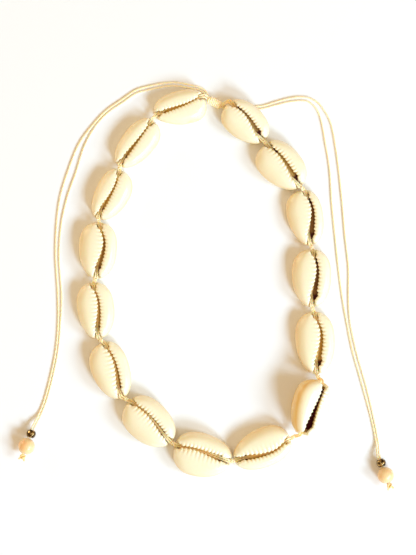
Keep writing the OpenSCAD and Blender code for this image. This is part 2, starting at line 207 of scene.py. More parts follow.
# Its wraps: points in a turn and in a tucked end, how far in an end is tucked, how uneven the wraps are
# across the knot as a share and along it in metres, how much of its length they take, and their overlap
WRAP_POINTS = 32
TUCK_POINTS = 14
TUCKED_SHARE = 0.62
WRAP_SWELL = 0.015
WRAP_DRIFT = 0.00004
WRAP_FIT = 0.98
WRAP_OVERLAP = 1.1

# Beads and end knots: lengths in metres, spread and dents as shares
METAL_RADIUS = 0.002
WOOD_RADIUS = 0.00345
BORE_RADIUS = 0.001
BORE_RIM = 0.00022
BEAD_REACH = 0.0009
BEAD_GAP = 0.00005
END_KNOT_GAP = 0.0001
STRAND_END = 0.0004
BEAD_SLOPE = math.radians(7)
END_KNOT_LENGTH = 0.00221
END_KNOT_RADIUS = 0.0013
END_KNOT_CORD = 0.0004
END_TIP_LENGTH = 0.0017
END_TIP_SPREAD = 0.55
END_TIP_DROOP = 0.0002
METAL_DENTS = 0.012
WOOD_DENTS = 0.002

# Colours of the cool lamps, of the warm one at the left, of the room's light and of the surface
LAMP_COLOUR = (0.575, 0.80, 1.0)
FILL_COLOUR = (1.0, 0.84, 0.62)
ROOM_COLOUR = (1.0, 0.65, 0.25)
SURFACE_COLOUR = (0.93, 0.94, 0.97)


class Slot(Enum):
    """Material slots of the record."""

    SHELL = "cowrie_shell"
    CORD = "waxed_cord"
    METAL = "dark_brass"
    WOOD = "pale_wood"


class Side(Enum):
    """Which of the two parallel cords, counted across the way round the loop."""

    OUTER = 1
    INNER = -1


# Routes of the tails from the sliding knot to the metal bead: x, y and, where a cord is lifted off the
# surface, the height of its middle
TAIL_LEFT_OUTER = [
    (0.0007, 0.0792, 0.0009), (-0.0004, 0.0809, 0.0005), (-0.003, 0.0822), (-0.007, 0.0832),
    (-0.011, 0.084), (-0.015, 0.0841), (-0.0195, 0.0835), (-0.024, 0.0825), (-0.029, 0.081),
    (-0.035, 0.077), (-0.042, 0.072), (-0.048, 0.0655), (-0.053, 0.0585), (-0.0575, 0.0475),
    (-0.061, 0.036), (-0.0625, 0.025), (-0.063, 0.012), (-0.062, -0.006), (-0.062, -0.018),
    (-0.063, -0.029), (-0.0655, -0.041), (-0.068, -0.05), (-0.07, -0.055, 0.0006),
]
TAIL_LEFT_INNER = [
    (0.0001, 0.0785, 0.001), (-0.0009, 0.08, 0.0005), (-0.003, 0.0812), (-0.007, 0.0819),
    (-0.011, 0.0826), (-0.015, 0.0827), (-0.0195, 0.082), (-0.024, 0.081), (-0.029, 0.0795),
    (-0.035, 0.0755), (-0.042, 0.0705), (-0.047, 0.0645), (-0.051, 0.057), (-0.0545, 0.046),
    (-0.058, 0.036), (-0.0605, 0.025), (-0.0615, 0.012), (-0.0605, -0.006), (-0.061, -0.018),
    (-0.062, -0.029), (-0.0645, -0.041), (-0.067, -0.05), (-0.0691, -0.0552, 0.0006),
]
TAIL_RIGHT_OUTER = [
    (0.0083, 0.074, 0.0007), (0.011, 0.0735), (0.015, 0.0736), (0.02, 0.074), (0.024, 0.0743),
    (0.029, 0.0758), (0.034, 0.0772), (0.039, 0.078), (0.043, 0.0777), (0.047, 0.0757), (0.05, 0.072),
    (0.0525, 0.067), (0.055, 0.054), (0.057, 0.037), (0.0585, 0.02), (0.06, 0.006), (0.06, -0.006),
    (0.0605, -0.0155), (0.063, -0.028), (0.0675, -0.044), (0.071, -0.059), (0.0724, -0.067, 0.0008),
]
TAIL_RIGHT_INNER = [
    (0.0081, 0.073, 0.0007), (0.011, 0.0723), (0.015, 0.0725), (0.02, 0.0729), (0.024, 0.0731),
    (0.029, 0.0744), (0.034, 0.0757), (0.039, 0.0764), (0.043, 0.076), (0.0465, 0.073), (0.0485, 0.068),
    (0.05, 0.06), (0.052, 0.048), (0.053, 0.033), (0.0545, 0.018), (0.0565, 0), (0.058, -0.01),
    (0.0595, -0.018), (0.0615, -0.028), (0.066, -0.044), (0.07, -0.059), (0.0715, -0.067, 0.0008),
]

# Where the wooden beads stand on the surface, and the tails' headings there in degrees from +X
LEFT_BEAD = Vector((-0.075, -0.0683))
LEFT_HEADING = -110
RIGHT_BEAD = Vector((0.0753, -0.0805))
RIGHT_HEADING = -70


def mix(a: Amount, b: Amount, share: float) -> Amount:
    """Return the number or the point at a share of the way from a to b."""
    return a + (b - a) * share


def soft_step(value: float, start: float, end: float) -> float:
    """Return a soft step from 0 where the value is at the start to 1 where it is at the end."""
    t = max(0.0, min(1.0, (value - start) / (end - start)))
    return t * t * (3 - 2 * t)


def signed_power(a: float, power: float) -> float:
    """Return a power of a value that keeps the value's sign."""
    return math.copysign(abs(a) ** power, a)


def flat_normal(way: Vector) -> Vector:
    """Return the level direction to the left of a way."""
    return Vector((-way.y, way.x, 0)).normalized()


def frame_shift() -> Vector:
    """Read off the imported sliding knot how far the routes' own origin lies from the frame's.

    Returns:
        The shift, level with the surface.
    """
    low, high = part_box("sliding_knot")
    middle = (Vector(low) + Vector(high)) / 2
    drawn = (SLIDING_START + SLIDING_END) / 2
    return Vector((middle.x - drawn.x, middle.y - drawn.y, 0))


SHIFT = frame_shift()


def rounded_path(points: list[Vector]) -> list[Vector]:
    """Draw one smooth curve through a route.

    Args:
        points: The route's points.

    Returns:
        Points along the curve, about CORD_STEP apart.
    """
    padded = [2 * points[0] - points[1], *points, 2 * points[-1] - points[-2]]
    path = [points[0].copy()]
    for i in range(1, len(padded) - 2):
        before, start, end, after = padded[i - 1 : i + 3]
        count = max(2, round((end - start).length / CORD_STEP))
        chords = ((before, start), (start, end), (end, after))
        times = [0.0]
        for a, b in chords:
            times.append(times[-1] + max(LEAST_CHORD, (b - a).length) ** 0.5)
        for n in range(1, count + 1):
            t = mix(times[1], times[2], n / count)
            first = [
                mix(a, b, (t - times[j]) / (times[j + 1] - times[j])) for j, (a, b) in enumerate(chords)
            ]
            second = [
                mix(first[j], first[j + 1], (t - times[j]) / (times[j + 2] - times[j])) for j in (0, 1)
            ]
            path.append(mix(*second, (t - times[1]) / (times[2] - times[1])))
    return path


def put_in_scene(name: str, data: bpy.types.ID) -> bpy.types.Object:
    """Make an object and put it in the scene.

    Args:
        name: The object's name.
        data: Its mesh, curve, camera or lamp.

    Returns:
        The new object.
    """
    made = bpy.data.objects.new(name, data)
    bpy.context.scene.collection.objects.link(made)
    return made


def ring_faces(rounds: int, count: int) -> list[tuple[int, int, int, int]]:
    """Join the points of a closed ring.

    Args:
        rounds: Number of sections round the ring.
        count: Number of points in each closed section. The points come section by section.

    Returns:
        The faces, as numbers of points.
    """
    faces = []
    for i in range(rounds):
        here, after = i * count, (i + 1) % rounds * count
        for j in range(count):
            beside = (j + 1) % count
            faces.append((here + j, after + j, after + beside, here + beside))
    return faces


def settled(piece: bpy.types.Object, name: str) -> bpy.types.Object:
    """Turn a piece with a node modifier into a plain mesh of its own.

    Args:
        piece: The object with the modifier, which is removed.
        name: The plain piece's name.

    Returns:
        The plain piece.
    """
    graph = bpy.context.evaluated_depsgraph_get()
    evaluated = piece.evaluated_get(graph)
    mesh = bpy.data.meshes.new_from_object(evaluated, preserve_all_data_layers=True, depsgraph=graph)
    mesh.name = name
    plain = put_in_scene(name, mesh)
    bpy.data.objects.remove(piece)
    return plain


def new_group(name: str, inputs: dict[str, str], output: str) -> bpy.types.NodeTree:
    """Start a geometry tree.

    Args:
        name: The tree's name.
        inputs: Its named inputs and their kinds.
        output: The name of its one output.

    Returns:
        The tree, with its sockets and no nodes.
    """
    group = bpy.data.node_groups.new(name, "GeometryNodeTree")
    for title, kind in inputs.items():
        group.interface.new_socket(title, in_out="INPUT", socket_type="NodeSocket" + kind)
    group.interface.new_socket(output, in_out="OUTPUT", socket_type="NodeSocketGeometry")
    return group


def run_tree(piece: bpy.types.Object, group: bpy.types.NodeTree, values: dict[str, object]) -> None:
    """Put a geometry tree on a piece.

    Args:
        piece: The piece.
        group: The tree.
        values: Its named inputs, which are set by the identifiers of their sockets.
    """
    modifier = piece.modifiers.new(group.name, "NODES")
    modifier.node_group = group
    for item in group.interface.items_tree:
        if item.item_type == "SOCKET" and item.in_out == "INPUT" and item.name in values:
            modifier[item.identifier] = values[item.name]


def hand_over(piece: bpy.types.Object, slot: Slot, *nodes: str) -> None:
    """Let a finished piece ride on the one body, and hide the nodes that it replaces.

    Args:
        piece: The piece.
        slot: Its material slot; not used.
        *nodes: The nodes that it replaces.
    """
    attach(piece, "root")
    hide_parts(*nodes)
    LOG.info("%s: %d faces", piece.name, len(piece.data.polygons))


class NodeTree:
    """A shader or geometry tree that is built one node after another."""

    def __init__(self, tree: bpy.types.NodeTree) -> None:
        """Keep the tree, emptied."""
        self.tree = tree
        self.tree.nodes.clear()

    def add(
        self, kind: str, inputs: dict[str | int, object] | None = None, **settings: object
    ) -> bpy.types.Node:
        """Add one node.

        Args:
            kind: The node's type.
            inputs: Values for its inputs, or the sockets that feed them.
            **settings: The node's own settings.

        Returns:
            The new node.
        """
        node = self.tree.nodes.new(kind)
        for name, value in settings.items():
            setattr(node, name, value)
        for key, value in (inputs or {}).items():
            if isinstance(value, bpy.types.NodeSocket):
                self.tree.links.new(value, node.inputs[key])
            else:
                node.inputs[key].default_value = value
        return node

    def math(self, operation: str, a: object, b: object = 0.0, c: object = 0.0) -> bpy.types.NodeSocket:
        """Add a Math node and return its result."""
        kind = "ShaderNodeMath"
        return self.add(kind, {0: a, 1: b, 2: c}, operation=operation).outputs[0]

    def ramp(self, factor: bpy.types.NodeSocket, stops: list[tuple[float, tuple]]) -> bpy.types.NodeSocket:
        """Add a colour ramp.

        Args:
            factor: What the ramp reads.
            stops: Places from 0 to 1 and their colours.

        Returns:
            The ramp's colour.
        """
        node = self.add("ShaderNodeValToRGB", {0: factor})
        elements = node.color_ramp.elements
        while len(elements) < len(stops):
            elements.new(1.0)
        for element, (place, colour) in zip(elements, stops):
            element.position = place
            element.color = (*colour, 1)
        return node.outputs[0]

    def blend(self, factor: object, a: object, b: object, kind: str = "MIX") -> bpy.types.NodeSocket:
        """Add a mix of two colours.

        Args:
            factor: Share of the second colour.
            a: The first colour or socket.
            b: The second colour or socket.
            kind: How they are mixed.

        Returns:
            The mixed colour.
        """
        node = self.add("ShaderNodeMix", data_type="RGBA", blend_type=kind)
        for key, value in ((0, factor), (6, a), (7, b)):
            if isinstance(value, bpy.types.NodeSocket):
                self.tree.links.new(value, node.inputs[key])
            else:
                node.inputs[key].default_value = (*value, 1) if isinstance(value, tuple) else value
        return node.outputs[2]

    def noise(
        self, vector: bpy.types.NodeSocket, scale: float, detail: float = 3.0
    ) -> bpy.types.NodeSocket:
        """Add a noise texture and return its factor."""
        inputs = {"Vector": vector, "Scale": scale, "Detail": detail}
        return self.add("ShaderNodeTexNoise", inputs).outputs[0]

    def mapped(self, vector: bpy.types.NodeSocket, **change: tuple) -> bpy.types.NodeSocket:
        """Add a Mapping node with one change, such as Location or Scale, and return its vector."""
        return self.add("ShaderNodeMapping", {"Vector": vector, **change}).outputs[0]

    def bump(
        self, height: bpy.types.NodeSocket, strength: float, distance: float
    ) -> bpy.types.NodeSocket:
        """Add a Bump node and return its normal."""
        inputs = {"Strength": strength, "Distance": distance, "Height": height}
        return self.add("ShaderNodeBump", inputs).outputs[0]

    def carried(self, name: str) -> bpy.types.NodeSocket:
        """Read a value that a mesh's points carry, in a shader."""
        return self.add("ShaderNodeAttribute", attribute_name=name).outputs["Fac"]

    def read(self, name: str, kind: str) -> bpy.types.NodeSocket:
        """Read a value or a direction that a mesh's points carry, in a geometry tree."""
        return self.add("GeometryNodeInputNamedAttribute", {"Name": name}, data_type=kind).outputs[0]

    def scaled(self, vector: bpy.types.NodeSocket, share: bpy.types.NodeSocket) -> bpy.types.NodeSocket:
        """Add a node that scales a vector and return its result."""
        inputs = {0: vector, "Scale": share}
        return self.add("ShaderNodeVectorMath", inputs, operation="SCALE").outputs[0]

    def close(self, geometry: bpy.types.NodeSocket, finish: bpy.types.NodeSocket) -> None:
        """End a geometry tree: smooth and real geometry with its material, at the output.

        Args:
            geometry: The finished geometry.
            finish: The socket that holds the material.
        """
        shaded = self.add("GeometryNodeSetShadeSmooth", {"Geometry": geometry}).outputs[0]
        real = self.add("GeometryNodeRealizeInstances", {"Geometry": shaded}).outputs[0]
        dressed = self.add("GeometryNodeSetMaterial", {"Geometry": real, "Material": finish}).outputs[0]
        self.add("NodeGroupOutput", {0: dressed})


def new_shader(name: str) -> tuple[bpy.types.Material, NodeTree]:
    """Start a node material.

    Args:
        name: The material's name.

    Returns:
        The material, and its emptied tree.
    """
    material = bpy.data.materials.new(name)
    material.use_nodes = True
    return material, NodeTree(material.node_tree)


def close_shader(tree: NodeTree, surface: dict[str, object]) -> None:
    """Add the Principled shader with its inputs and the material's output."""
    shader = tree.add("ShaderNodeBsdfPrincipled", surface)
    tree.add("ShaderNodeOutputMaterial", {"Surface": shader.outputs[0]})


@dataclass(frozen=True)
class ShellGlaze:
    """The polished shell: tan flanks, partly painted shade, an ivory crown, white teeth and a brown hollow
    with painted shade and a painted glow.
    """

    name: str
    tan_and_shade: float
    seed: float

    def material(self) -> bpy.types.Material:
        """Build the glaze from the zone, flank and shade that a shell's points carry.

        Returns:
            The material.
        """
        material, tree = new_shader(self.name)
        zone, flank, shade = (tree.carried(name) for name in ("zone", "flank", "shade"))
        place = tree.add("ShaderNodeTexCoord").outputs["Object"]
        shifted = tree.mapped(place, Location=(self.seed, 0.0, 0.0))
        cloud = tree.noise(shifted, 160.0)
        grain = tree.noise(shifted, 1400.0, 4.0)
        uneven = tree.math("MULTIPLY_ADD", cloud, 0.16, zone)
        uneven = tree.math("SUBTRACT", uneven, 0.08)
        body = tree.ramp(uneven, GLAZE_STOPS)
        # The flanks' tan, partly the shell's own tone and partly painted shade
        tan = tree.math("MULTIPLY", flank, self.tan_and_shade)
        tan = tree.math("MULTIPLY", tan, tree.math("MULTIPLY_ADD", cloud, 0.8, 0.5))
        warm = tree.blend(tan, body, TAN_SHADE_COLOUR, "MULTIPLY")
        span = {"Value": zone, "From Min": 0.58, "From Max": 0.66}
        inner = tree.add("ShaderNodeMapRange", span).outputs[0]
        # Painted shade: where the shade value asks for it, the hollow turns near black
        dark = tree.math("MULTIPLY", inner, shade)
        warm = tree.blend(dark, warm, HOLLOW_SHADE_COLOUR)
        # Painted glow: golden on the hollow's walls, maroon where painted shade darkens it
        painted_glow = tree.math("MULTIPLY_ADD", dark, PAINTED_DARK_GLOW - PAINTED_WALL_GLOW, PAINTED_WALL_GLOW)
        speckle = tree.math("MULTIPLY", tree.math("GREATER_THAN", grain, 0.66), 0.12)
        polish = tree.math("MULTIPLY_ADD", cloud, 0.16, 0.24)
        close_shader(
            tree,
            {
                "Base Color": tree.blend(speckle, warm, SPECKLE_COLOUR),
                "Roughness": tree.math("MULTIPLY_ADD", inner, 0.4, polish),
                "Coat Weight": tree.math("MULTIPLY_ADD", inner, -0.35, 0.35),
                "Coat Roughness": 0.14,
                "Subsurface Weight": 0.12,
                "Subsurface Radius": (0.9, 0.5, 0.22),
                "Subsurface Scale": 0.0012,
                "Emission Color": tree.blend(dark, (1.0, 0.68, 0.12), (1.0, 0.05, 0.08)),
                "Emission Strength": tree.math("MULTIPLY", inner, painted_glow),
                "Normal": tree.bump(grain, 0.12, 0.00006),
            },
        )
        return material


@dataclass(frozen=True)
class WaxedCord:
    """Twisted waxed cord: cream strands with painted shade in the grooves between them, paler below a
    height, where a lit colour takes the place of painted slit shade.
    """

    name: str
    light: Colour = (1.0, 0.90, 0.67)
    dark: Colour = (1.0, 0.74, 0.39)
    worn: Colour = (1.0, 0.92, 0.71)
    # Strength of a painted warm glow that lightens the cord
    painted_glow: float = 0.07
    lit_below: float = 0.0

    def material(self) -> bpy.types.Material:
        """Build the finish from the groove value that a cord's points carry.

        Returns:
            The material.
        """
        material, tree = new_shader(self.name)
        groove = tree.carried("groove")
        place = tree.add("ShaderNodeTexCoord").outputs["Object"]
        cloud = tree.noise(place, 320.0)
        fibre = tree.noise(place, 6000.0, 2.0)
        # Painted shade in the grooves between the strands, uneven along the cord
        shade = tree.math("MULTIPLY", groove, tree.math("MULTIPLY_ADD", cloud, 0.9, 0.25))
        strand = tree.blend(shade, self.light, self.dark)
        worn = tree.blend(tree.math("MULTIPLY", cloud, 0.35), strand, self.worn)
        height = tree.add("ShaderNodeSeparateXYZ", {0: place}).outputs[2]
        # Below a height the cord takes its paler lit colour instead of the amber painted as the slits'
        # shade
        low = tree.math("MULTIPLY_ADD", height, -1 / LIT_RISE, self.lit_below / LIT_RISE)
        lit_cord = tree.blend(shade, LIT_CORD_LIGHT, LIT_CORD_DARK)
        close_shader(
            tree,
            {
                "Base Color": tree.blend(low, worn, lit_cord),
                "Roughness": 0.52,
                "Sheen Weight": 0.15,
                "Subsurface Weight": 0.5,
                "Subsurface Radius": (1.0, 0.6, 0.3),
                "Subsurface Scale": 0.0004,
                # A painted glow, in place of light through the wax
                "Emission Color": (1.0, 0.62, 0.24, 1),
                "Emission Strength": self.painted_glow,
                "Normal": tree.bump(fibre, 0.25, 0.00004),
            },
        )
        return material


@dataclass(frozen=True)
class AgedBrass:
    """Antiqued brass: nearly black in its pits, golden where it has been rubbed."""

    name: str

    def material(self) -> bpy.types.Material:
        """Build the finish, mixed by noise between patina and rubbed metal.

        Returns:
            The material.
        """
        material, tree = new_shader(self.name)
        place = tree.add("ShaderNodeTexCoord").outputs["Object"]
        patches = tree.noise(place, 900.0, 4.0)
        fine = tree.noise(place, 4200.0, 3.0)
        rubbed = tree.ramp(
            patches,
            [(0.43, (0.03, 0.016, 0.007)), (0.54, (0.26, 0.15, 0.05)), (0.66, (0.92, 0.68, 0.30))],
        )
        close_shader(
            tree,
            {
                "Base Color": rubbed,
                "Metallic": 0.85,
                "Roughness": tree.math("MULTIPLY_ADD", patches, -0.2, 0.30),
                "Normal": tree.bump(fine, 0.3, 0.00005),
            },
        )
        return material


@dataclass(frozen=True)
class PaleWood:
    """Varnished pale wood: honey rings under a clear coat."""

    name: str
    axis: Vector

    def material(self) -> bpy.types.Material:
        """Build the finish, with growth rings across the bead's axis.

        Returns:
            The material.
        """
        material, tree = new_shader(self.name)
        place = tree.add("ShaderNodeTexCoord").outputs["Object"]
        turn = Vector((0, 0, 1)).rotation_difference(self.axis).to_euler()
        stretched = tree.mapped(tree.mapped(place, Rotation=tuple(turn)), Scale=(1.0, 1.0, 0.25))
        warp = tree.noise(stretched, 260.0)
        rings = tree.add(
            "ShaderNodeTexWave",
            {"Vector": stretched, "Scale": 420.0, "Distortion": 3.0, "Detail": 2.0},
            wave_type="BANDS",
        ).outputs[1]
        light = tree.ramp(warp, [(0.35, (0.99, 0.62, 0.30)), (0.65, (1.0, 0.76, 0.43))])
        colour = tree.blend(tree.math("MULTIPLY", rings, 0.28), light, (0.95, 0.51, 0.20))
        close_shader(
            tree,
            {
                "Base Color": colour,
                "Roughness": 0.36,
                "Coat Weight": 0.5,
                "Coat Roughness": 0.12,
                "Subsurface Weight": 0.25,
                "Subsurface Radius": (1.0, 0.5, 0.2),
                "Subsurface Scale": 0.0012,
            },
        )
        return material


class CordWeave:
    """The node tree that turns any path into twisted cord."""

    def __init__(self) -> None:
        """Build the tree once, for every cord, wrap and knot."""
        inputs = {
            "Path": "Geometry",
            "Radius": "Float",
            "Strand Relief": "Float",
            "Twist": "Float",
            "Sides": "Int",
            "Finish": "Material",
        }
        self.group = new_group("cord_weave", inputs, "Cord")
        self._fill(NodeTree(self.group))

    def _fill(self, tree: NodeTree) -> None:
        """Add the nodes: tilt the path, sweep a three-lobed section, and mark the grooves.

        Args:
            tree: The emptied tree.
        """
        given = tree.add("NodeGroupInput").outputs
        length = tree.add("GeometryNodeSplineParameter").outputs["Length"]
        tilt = tree.math("MULTIPLY", tree.math("MULTIPLY", length, given["Twist"]), TURN)
        path = tree.add("GeometryNodeSetCurveTilt", {"Curve": given["Path"], "Tilt": tilt}).outputs[0]
        circle = tree.add(
            "GeometryNodeCurvePrimitiveCircle",
            {"Resolution": given["Sides"], "Radius": given["Radius"]},
        ).outputs[0]
        position = tree.add("GeometryNodeInputPosition").outputs[0]
        parts = tree.add("ShaderNodeSeparateXYZ", {0: position}).outputs
        angle = tree.math("ARCTAN2", parts[1], parts[0])
        lobes = tree.math("COSINE", tree.math("MULTIPLY", angle, 3.0))
        # The groove value, which the cord finishes darken as painted shade between the strands
        groove = tree.math("MULTIPLY_ADD", lobes, -0.5, 0.5)
        marked = tree.add(
            "GeometryNodeStoreNamedAttribute",
            {"Geometry": circle, "Name": "groove", "Value": groove},
            data_type="FLOAT",
            domain="POINT",
        ).outputs[0]
        outward = tree.add("ShaderNodeVectorMath", {0: position}, operation="NORMALIZE").outputs[0]
        depth = tree.math("MULTIPLY", groove, tree.math("MULTIPLY", given["Strand Relief"], -2.0))
        push = tree.scaled(outward, depth)
        section = tree.add("GeometryNodeSetPosition", {"Geometry": marked, "Offset": push}).outputs[0]
        tube = tree.add(
            "GeometryNodeCurveToMesh",
            {"Curve": path, "Profile Curve": section, "Fill Caps": True},
        ).outputs[0]
        tree.close(tube, given["Finish"])

    def weave(
        self,
        name: str,
        paths: list[list[Vector]],
        finish: bpy.types.Material,
        radius: float = CORD_RADIUS,
        closed: bool = False,
    ) -> bpy.types.Object:
        """Make a piece of cord along one or more paths.

        Args:
            name: The piece's name.
            paths: Points of each stretch.
            finish: The cord's material.
            radius: The cord's radius.
            closed: Whether the first path runs back into itself.

        Returns:
            The cord as a plain mesh.
        """
        curve = bpy.data.curves.new(name, "CURVE")
        curve.dimensions = "3D"
        for number, path in enumerate(paths):
            spline = curve.splines.new("POLY")
            spline.points.add(len(path) - 1)
            for point, place in zip(spline.points, path):
                point.co = (*(place + SHIFT), 1)
            spline.use_cyclic_u = closed and number == 0
        piece = put_in_scene(name + "_path", curve)
        values = {
            "Radius": radius,
            "Strand Relief": STRAND_RELIEF,
            "Twist": STRAND_TWIST,
            "Sides": CORD_SIDES,
            "Finish": finish,
        }
        run_tree(piece, self.group, values)
        return settled(piece, name)


class TeethTree:
    """The node tree that raises the teeth and ribs along a shell's slit."""

    def __init__(self) -> None:
        """Build the tree once, for every shell."""
        inputs = {
            "Shell": "Geometry",
            "Teeth": "Float",
            "Tooth Length": "Float",
            "Rib Height": "Float",
            "Finish": "Material",
        }
        self.group = new_group("shell_teeth", inputs, "Shell")
        self._fill(NodeTree(self.group))

    def _fill(self, tree: NodeTree) -> None:
        """Add the nodes: a wave along the slit pushes the lips' points in and the ribs' points up.

        Args:
            tree: The emptied tree.
        """
        given = tree.add("NodeGroupInput").outputs
        station = tree.read("slit_station", "FLOAT")
        turn = tree.math("MULTIPLY", tree.math("MULTIPLY", station, given["Teeth"]), TURN)
        wave = tree.math("MULTIPLY_ADD", tree.math("COSINE", turn), 0.5, 0.5)
        crest = tree.math("SUBTRACT", tree.math("POWER", wave, 0.8), 0.5)
        tooth = tree.math("MULTIPLY", crest, given["Tooth Length"])
        rib = tree.math("MULTIPLY", crest, given["Rib Height"])
        bite = tree.scaled(tree.read("lip_push", "FLOAT_VECTOR"), tooth)
        lift = tree.scaled(tree.read("rib_push", "FLOAT_VECTOR"), rib)
        push = tree.add("ShaderNodeVectorMath", {0: bite, 1: lift}, operation="ADD").outputs[0]
        moved = tree.add("GeometryNodeSetPosition", {"Geometry": given["Shell"], "Offset": push}).outputs[0]
        tree.close(moved, given["Finish"])

    def raise_teeth(
        self, piece: bpy.types.Object, teeth: float, share: float, finish: bpy.types.Material
    ) -> bpy.types.Object:
        """Run the tree on a shell.

        Args:
            piece: The shell's smooth mesh.
            teeth: Number of teeth that would fill the whole length.
            share: The shell's length as a share of the usual one.
            finish: The shell's material.

        Returns:
            The shell as a plain mesh.
        """
        values = {
            "Teeth": teeth,
            "Tooth Length": TOOTH_LENGTH * share,
            "Rib Height": RIB_HEIGHT * share,
            "Finish": finish,
        }
        run_tree(piece, self.group, values)
        return settled(piece, piece.name.removesuffix("_smooth"))


@dataclass
class CowrieShell:
    """One sliced cowrie, lying on its ground-off back with the slit up. Lengths are in metres."""

    number: int
    blunt: tuple[float, float]
    narrow: tuple[float, float]
    columella: float
    lip: float
    bow: float
    lean: float
    roll: float
    pitch: float
    slit_share: float
    narrow_hole: float
    teeth: float
    ribs: float
    lip_ribs: float
    # Strength of the flanks' tan, partly painted shade
    tan_and_shade: float
    # How much painted shade darkens the hollow at the blunt tip, in the middle and at the narrow tip
    blunt_shade: float
    middle_shade: float
    narrow_shade: float
    cord_shift: float
    cord_turn: float

    def __post_init__(self) -> None:
        """Work out the shell's length, direction and the height that rests it on the surface."""
        blunt, narrow = Vector(self.blunt), Vector(self.narrow)
        self.length = (blunt - narrow).length
        way = (blunt - narrow).normalized()
        middle = (blunt + narrow) / 2
        moving = Matrix.Translation((middle.x, middle.y, 0))
        heading = Matrix(((way.y, way.x, 0, 0), (-way.x, way.y, 0, 0), (0, 0, 1, 0), (0, 0, 0, 1)))
        lifting = Matrix.Translation((0, 0, CORD_HEIGHT))
        rolling = Matrix.Rotation(math.radians(self.roll), 4, "Y")
        pitching = Matrix.Rotation(math.radians(self.pitch), 4, "X")
        self.turning = moving @ heading @ lifting @ pitching @ rolling @ lifting.inverted()
        low = min((self.turning @ p).z for angle in self.stations() for p in self.keys(angle))
        self.turning = Matrix.Translation((0, 0, -low)) @ self.turning

    @property
    def name(self) -> str:
        """Return the name of the shell's node."""
        return f"shell_{self.number:02d}"

    def is_steep(self) -> bool:
        """Tell whether the shell lies rolled well over on one side."""
        return abs(self.roll) > STEEP_ROLL

    def placed(self, x: float, y: float, z: float) -> Vector:
        """Return a point of the shell's own frame where the necklace puts it."""
        return self.turning @ Vector((x, y, z))

    def mouth(self, side: int, depth: float) -> Vector:
        """Return the cords' middle at one tip, some depth inside it."""
        return self.placed(0, side * (self.length / 2 - depth), CORD_HEIGHT)

    def crown(self) -> float:
        """Return the height of the shell's crown."""
        return (self.columella + self.lip) * HEIGHT_RATIO

    def slit_middle(self, v: float) -> float:
        """Return how far the slit's middle bows to the lip side at a place along the shell."""
        return self.bow * BOW_SHARE * max(0.0, 1 - v * v) ** BOW_POWER * (1 + BOW_SKEW * v)

    def slit_along(self, v: float) -> float:
        """Return how far from the shell's middle a place along the slit lies."""
        return (self.length / 2 - LIP_INSET) * signed_power(v, OUTLINE_POWER)

    def arch(self, v: float) -> Vector:
        """Find the cords' middle where they arch up under the slit.

        Args:
            v: Place along the shell.

        Returns:
            The point, where the necklace puts it.
        """
        under_lips = EDGE_HEIGHT * self.crown() - LIP_WALL - ARCH_BELOW_LIP
        away = (v - ARCH_CREST) / (ARCH_REACH_BLUNT if v > ARCH_CREST else ARCH_REACH_NARROW)
        height = mix(CORD_HEIGHT, under_lips - ARCH_SHIFT_DROP * abs(self.cord_shift), 1 - away**2)
        beside = self.cord_shift * (1 - soft_step(abs(v), *SHIFT_FADE))
        return self.placed(ARCH_FOLLOW * self.slit_middle(v) + beside, self.slit_along(v), height)

    def stations(self) -> list[float]:
        """Divide the shell into sections: even steps along the slit, finer at the tips.

        Returns:
            The sections' angles, from the blunt tip round the lip side and back.
        """
        even, tip = 52, 13
        last = 0.88
        first = math.acos(last ** (1 / OUTLINE_POWER))
        quarter = [first * n / tip for n in range(tip)]
        side = [
            math.acos(signed_power(mix(last, -last, n / (2 * even)), 1 / OUTLINE_POWER))
            for n in range(2 * even + 1)
        ]
        half = quarter + side + [math.pi - angle for angle in reversed(quarter)]
        return half + [TURN - angle for angle in reversed(half[1:-1])]

    def outline(self, angle: float, inset: float) -> Vector:
        """Find a point of the oval outline.

        Args:
            angle: The section's angle.
            inset: How far the outline is drawn in.

        Returns:
            The point in plan.
        """
        on_lip = math.sin(angle) > 0
        half = self.lip if on_lip else self.columella
        taper = LIP_TAPER + self.lean if on_lip else COLUMELLA_TAPER - self.lean
        across = signed_power(math.sin(angle), OUTLINE_POWER)
        return Vector(
            (
                (half - inset) * across * (1 + taper * math.cos(angle)),
                (self.length / 2 - inset) * signed_power(math.cos(angle), OUTLINE_POWER),
            )
        )

    def lip_edge(self, angle: float) -> Vector:
        """Find a point of the slit's edge.

        Args:
            angle: The section's angle.

        Returns:
            The point in plan.
        """
        v = math.cos(angle)
        half = mix(SLIT_HALF_BLUNT, SLIT_HALF_NARROW, soft_step(v, *SLIT_WIDENS))
        half *= self.slit_share * (1 - SLIT_LOSS * soft_step(v, *SLIT_NARROWS))
        half = mix(half, NOTCH_HALF, soft_step(abs(v), *NOTCH_START))
        closing = min(1.0, abs(math.sin(angle)) / SLIT_CLOSING)
        across = math.copysign(half * closing, math.sin(angle))
        if math.sin(angle) > 0:
            across += self.narrow_hole * soft_step(v, *HOLE_OPENS) * soft_step(v, *HOLE_CLOSES)
        return Vector((self.slit_middle(v) + across, self.slit_along(v)))

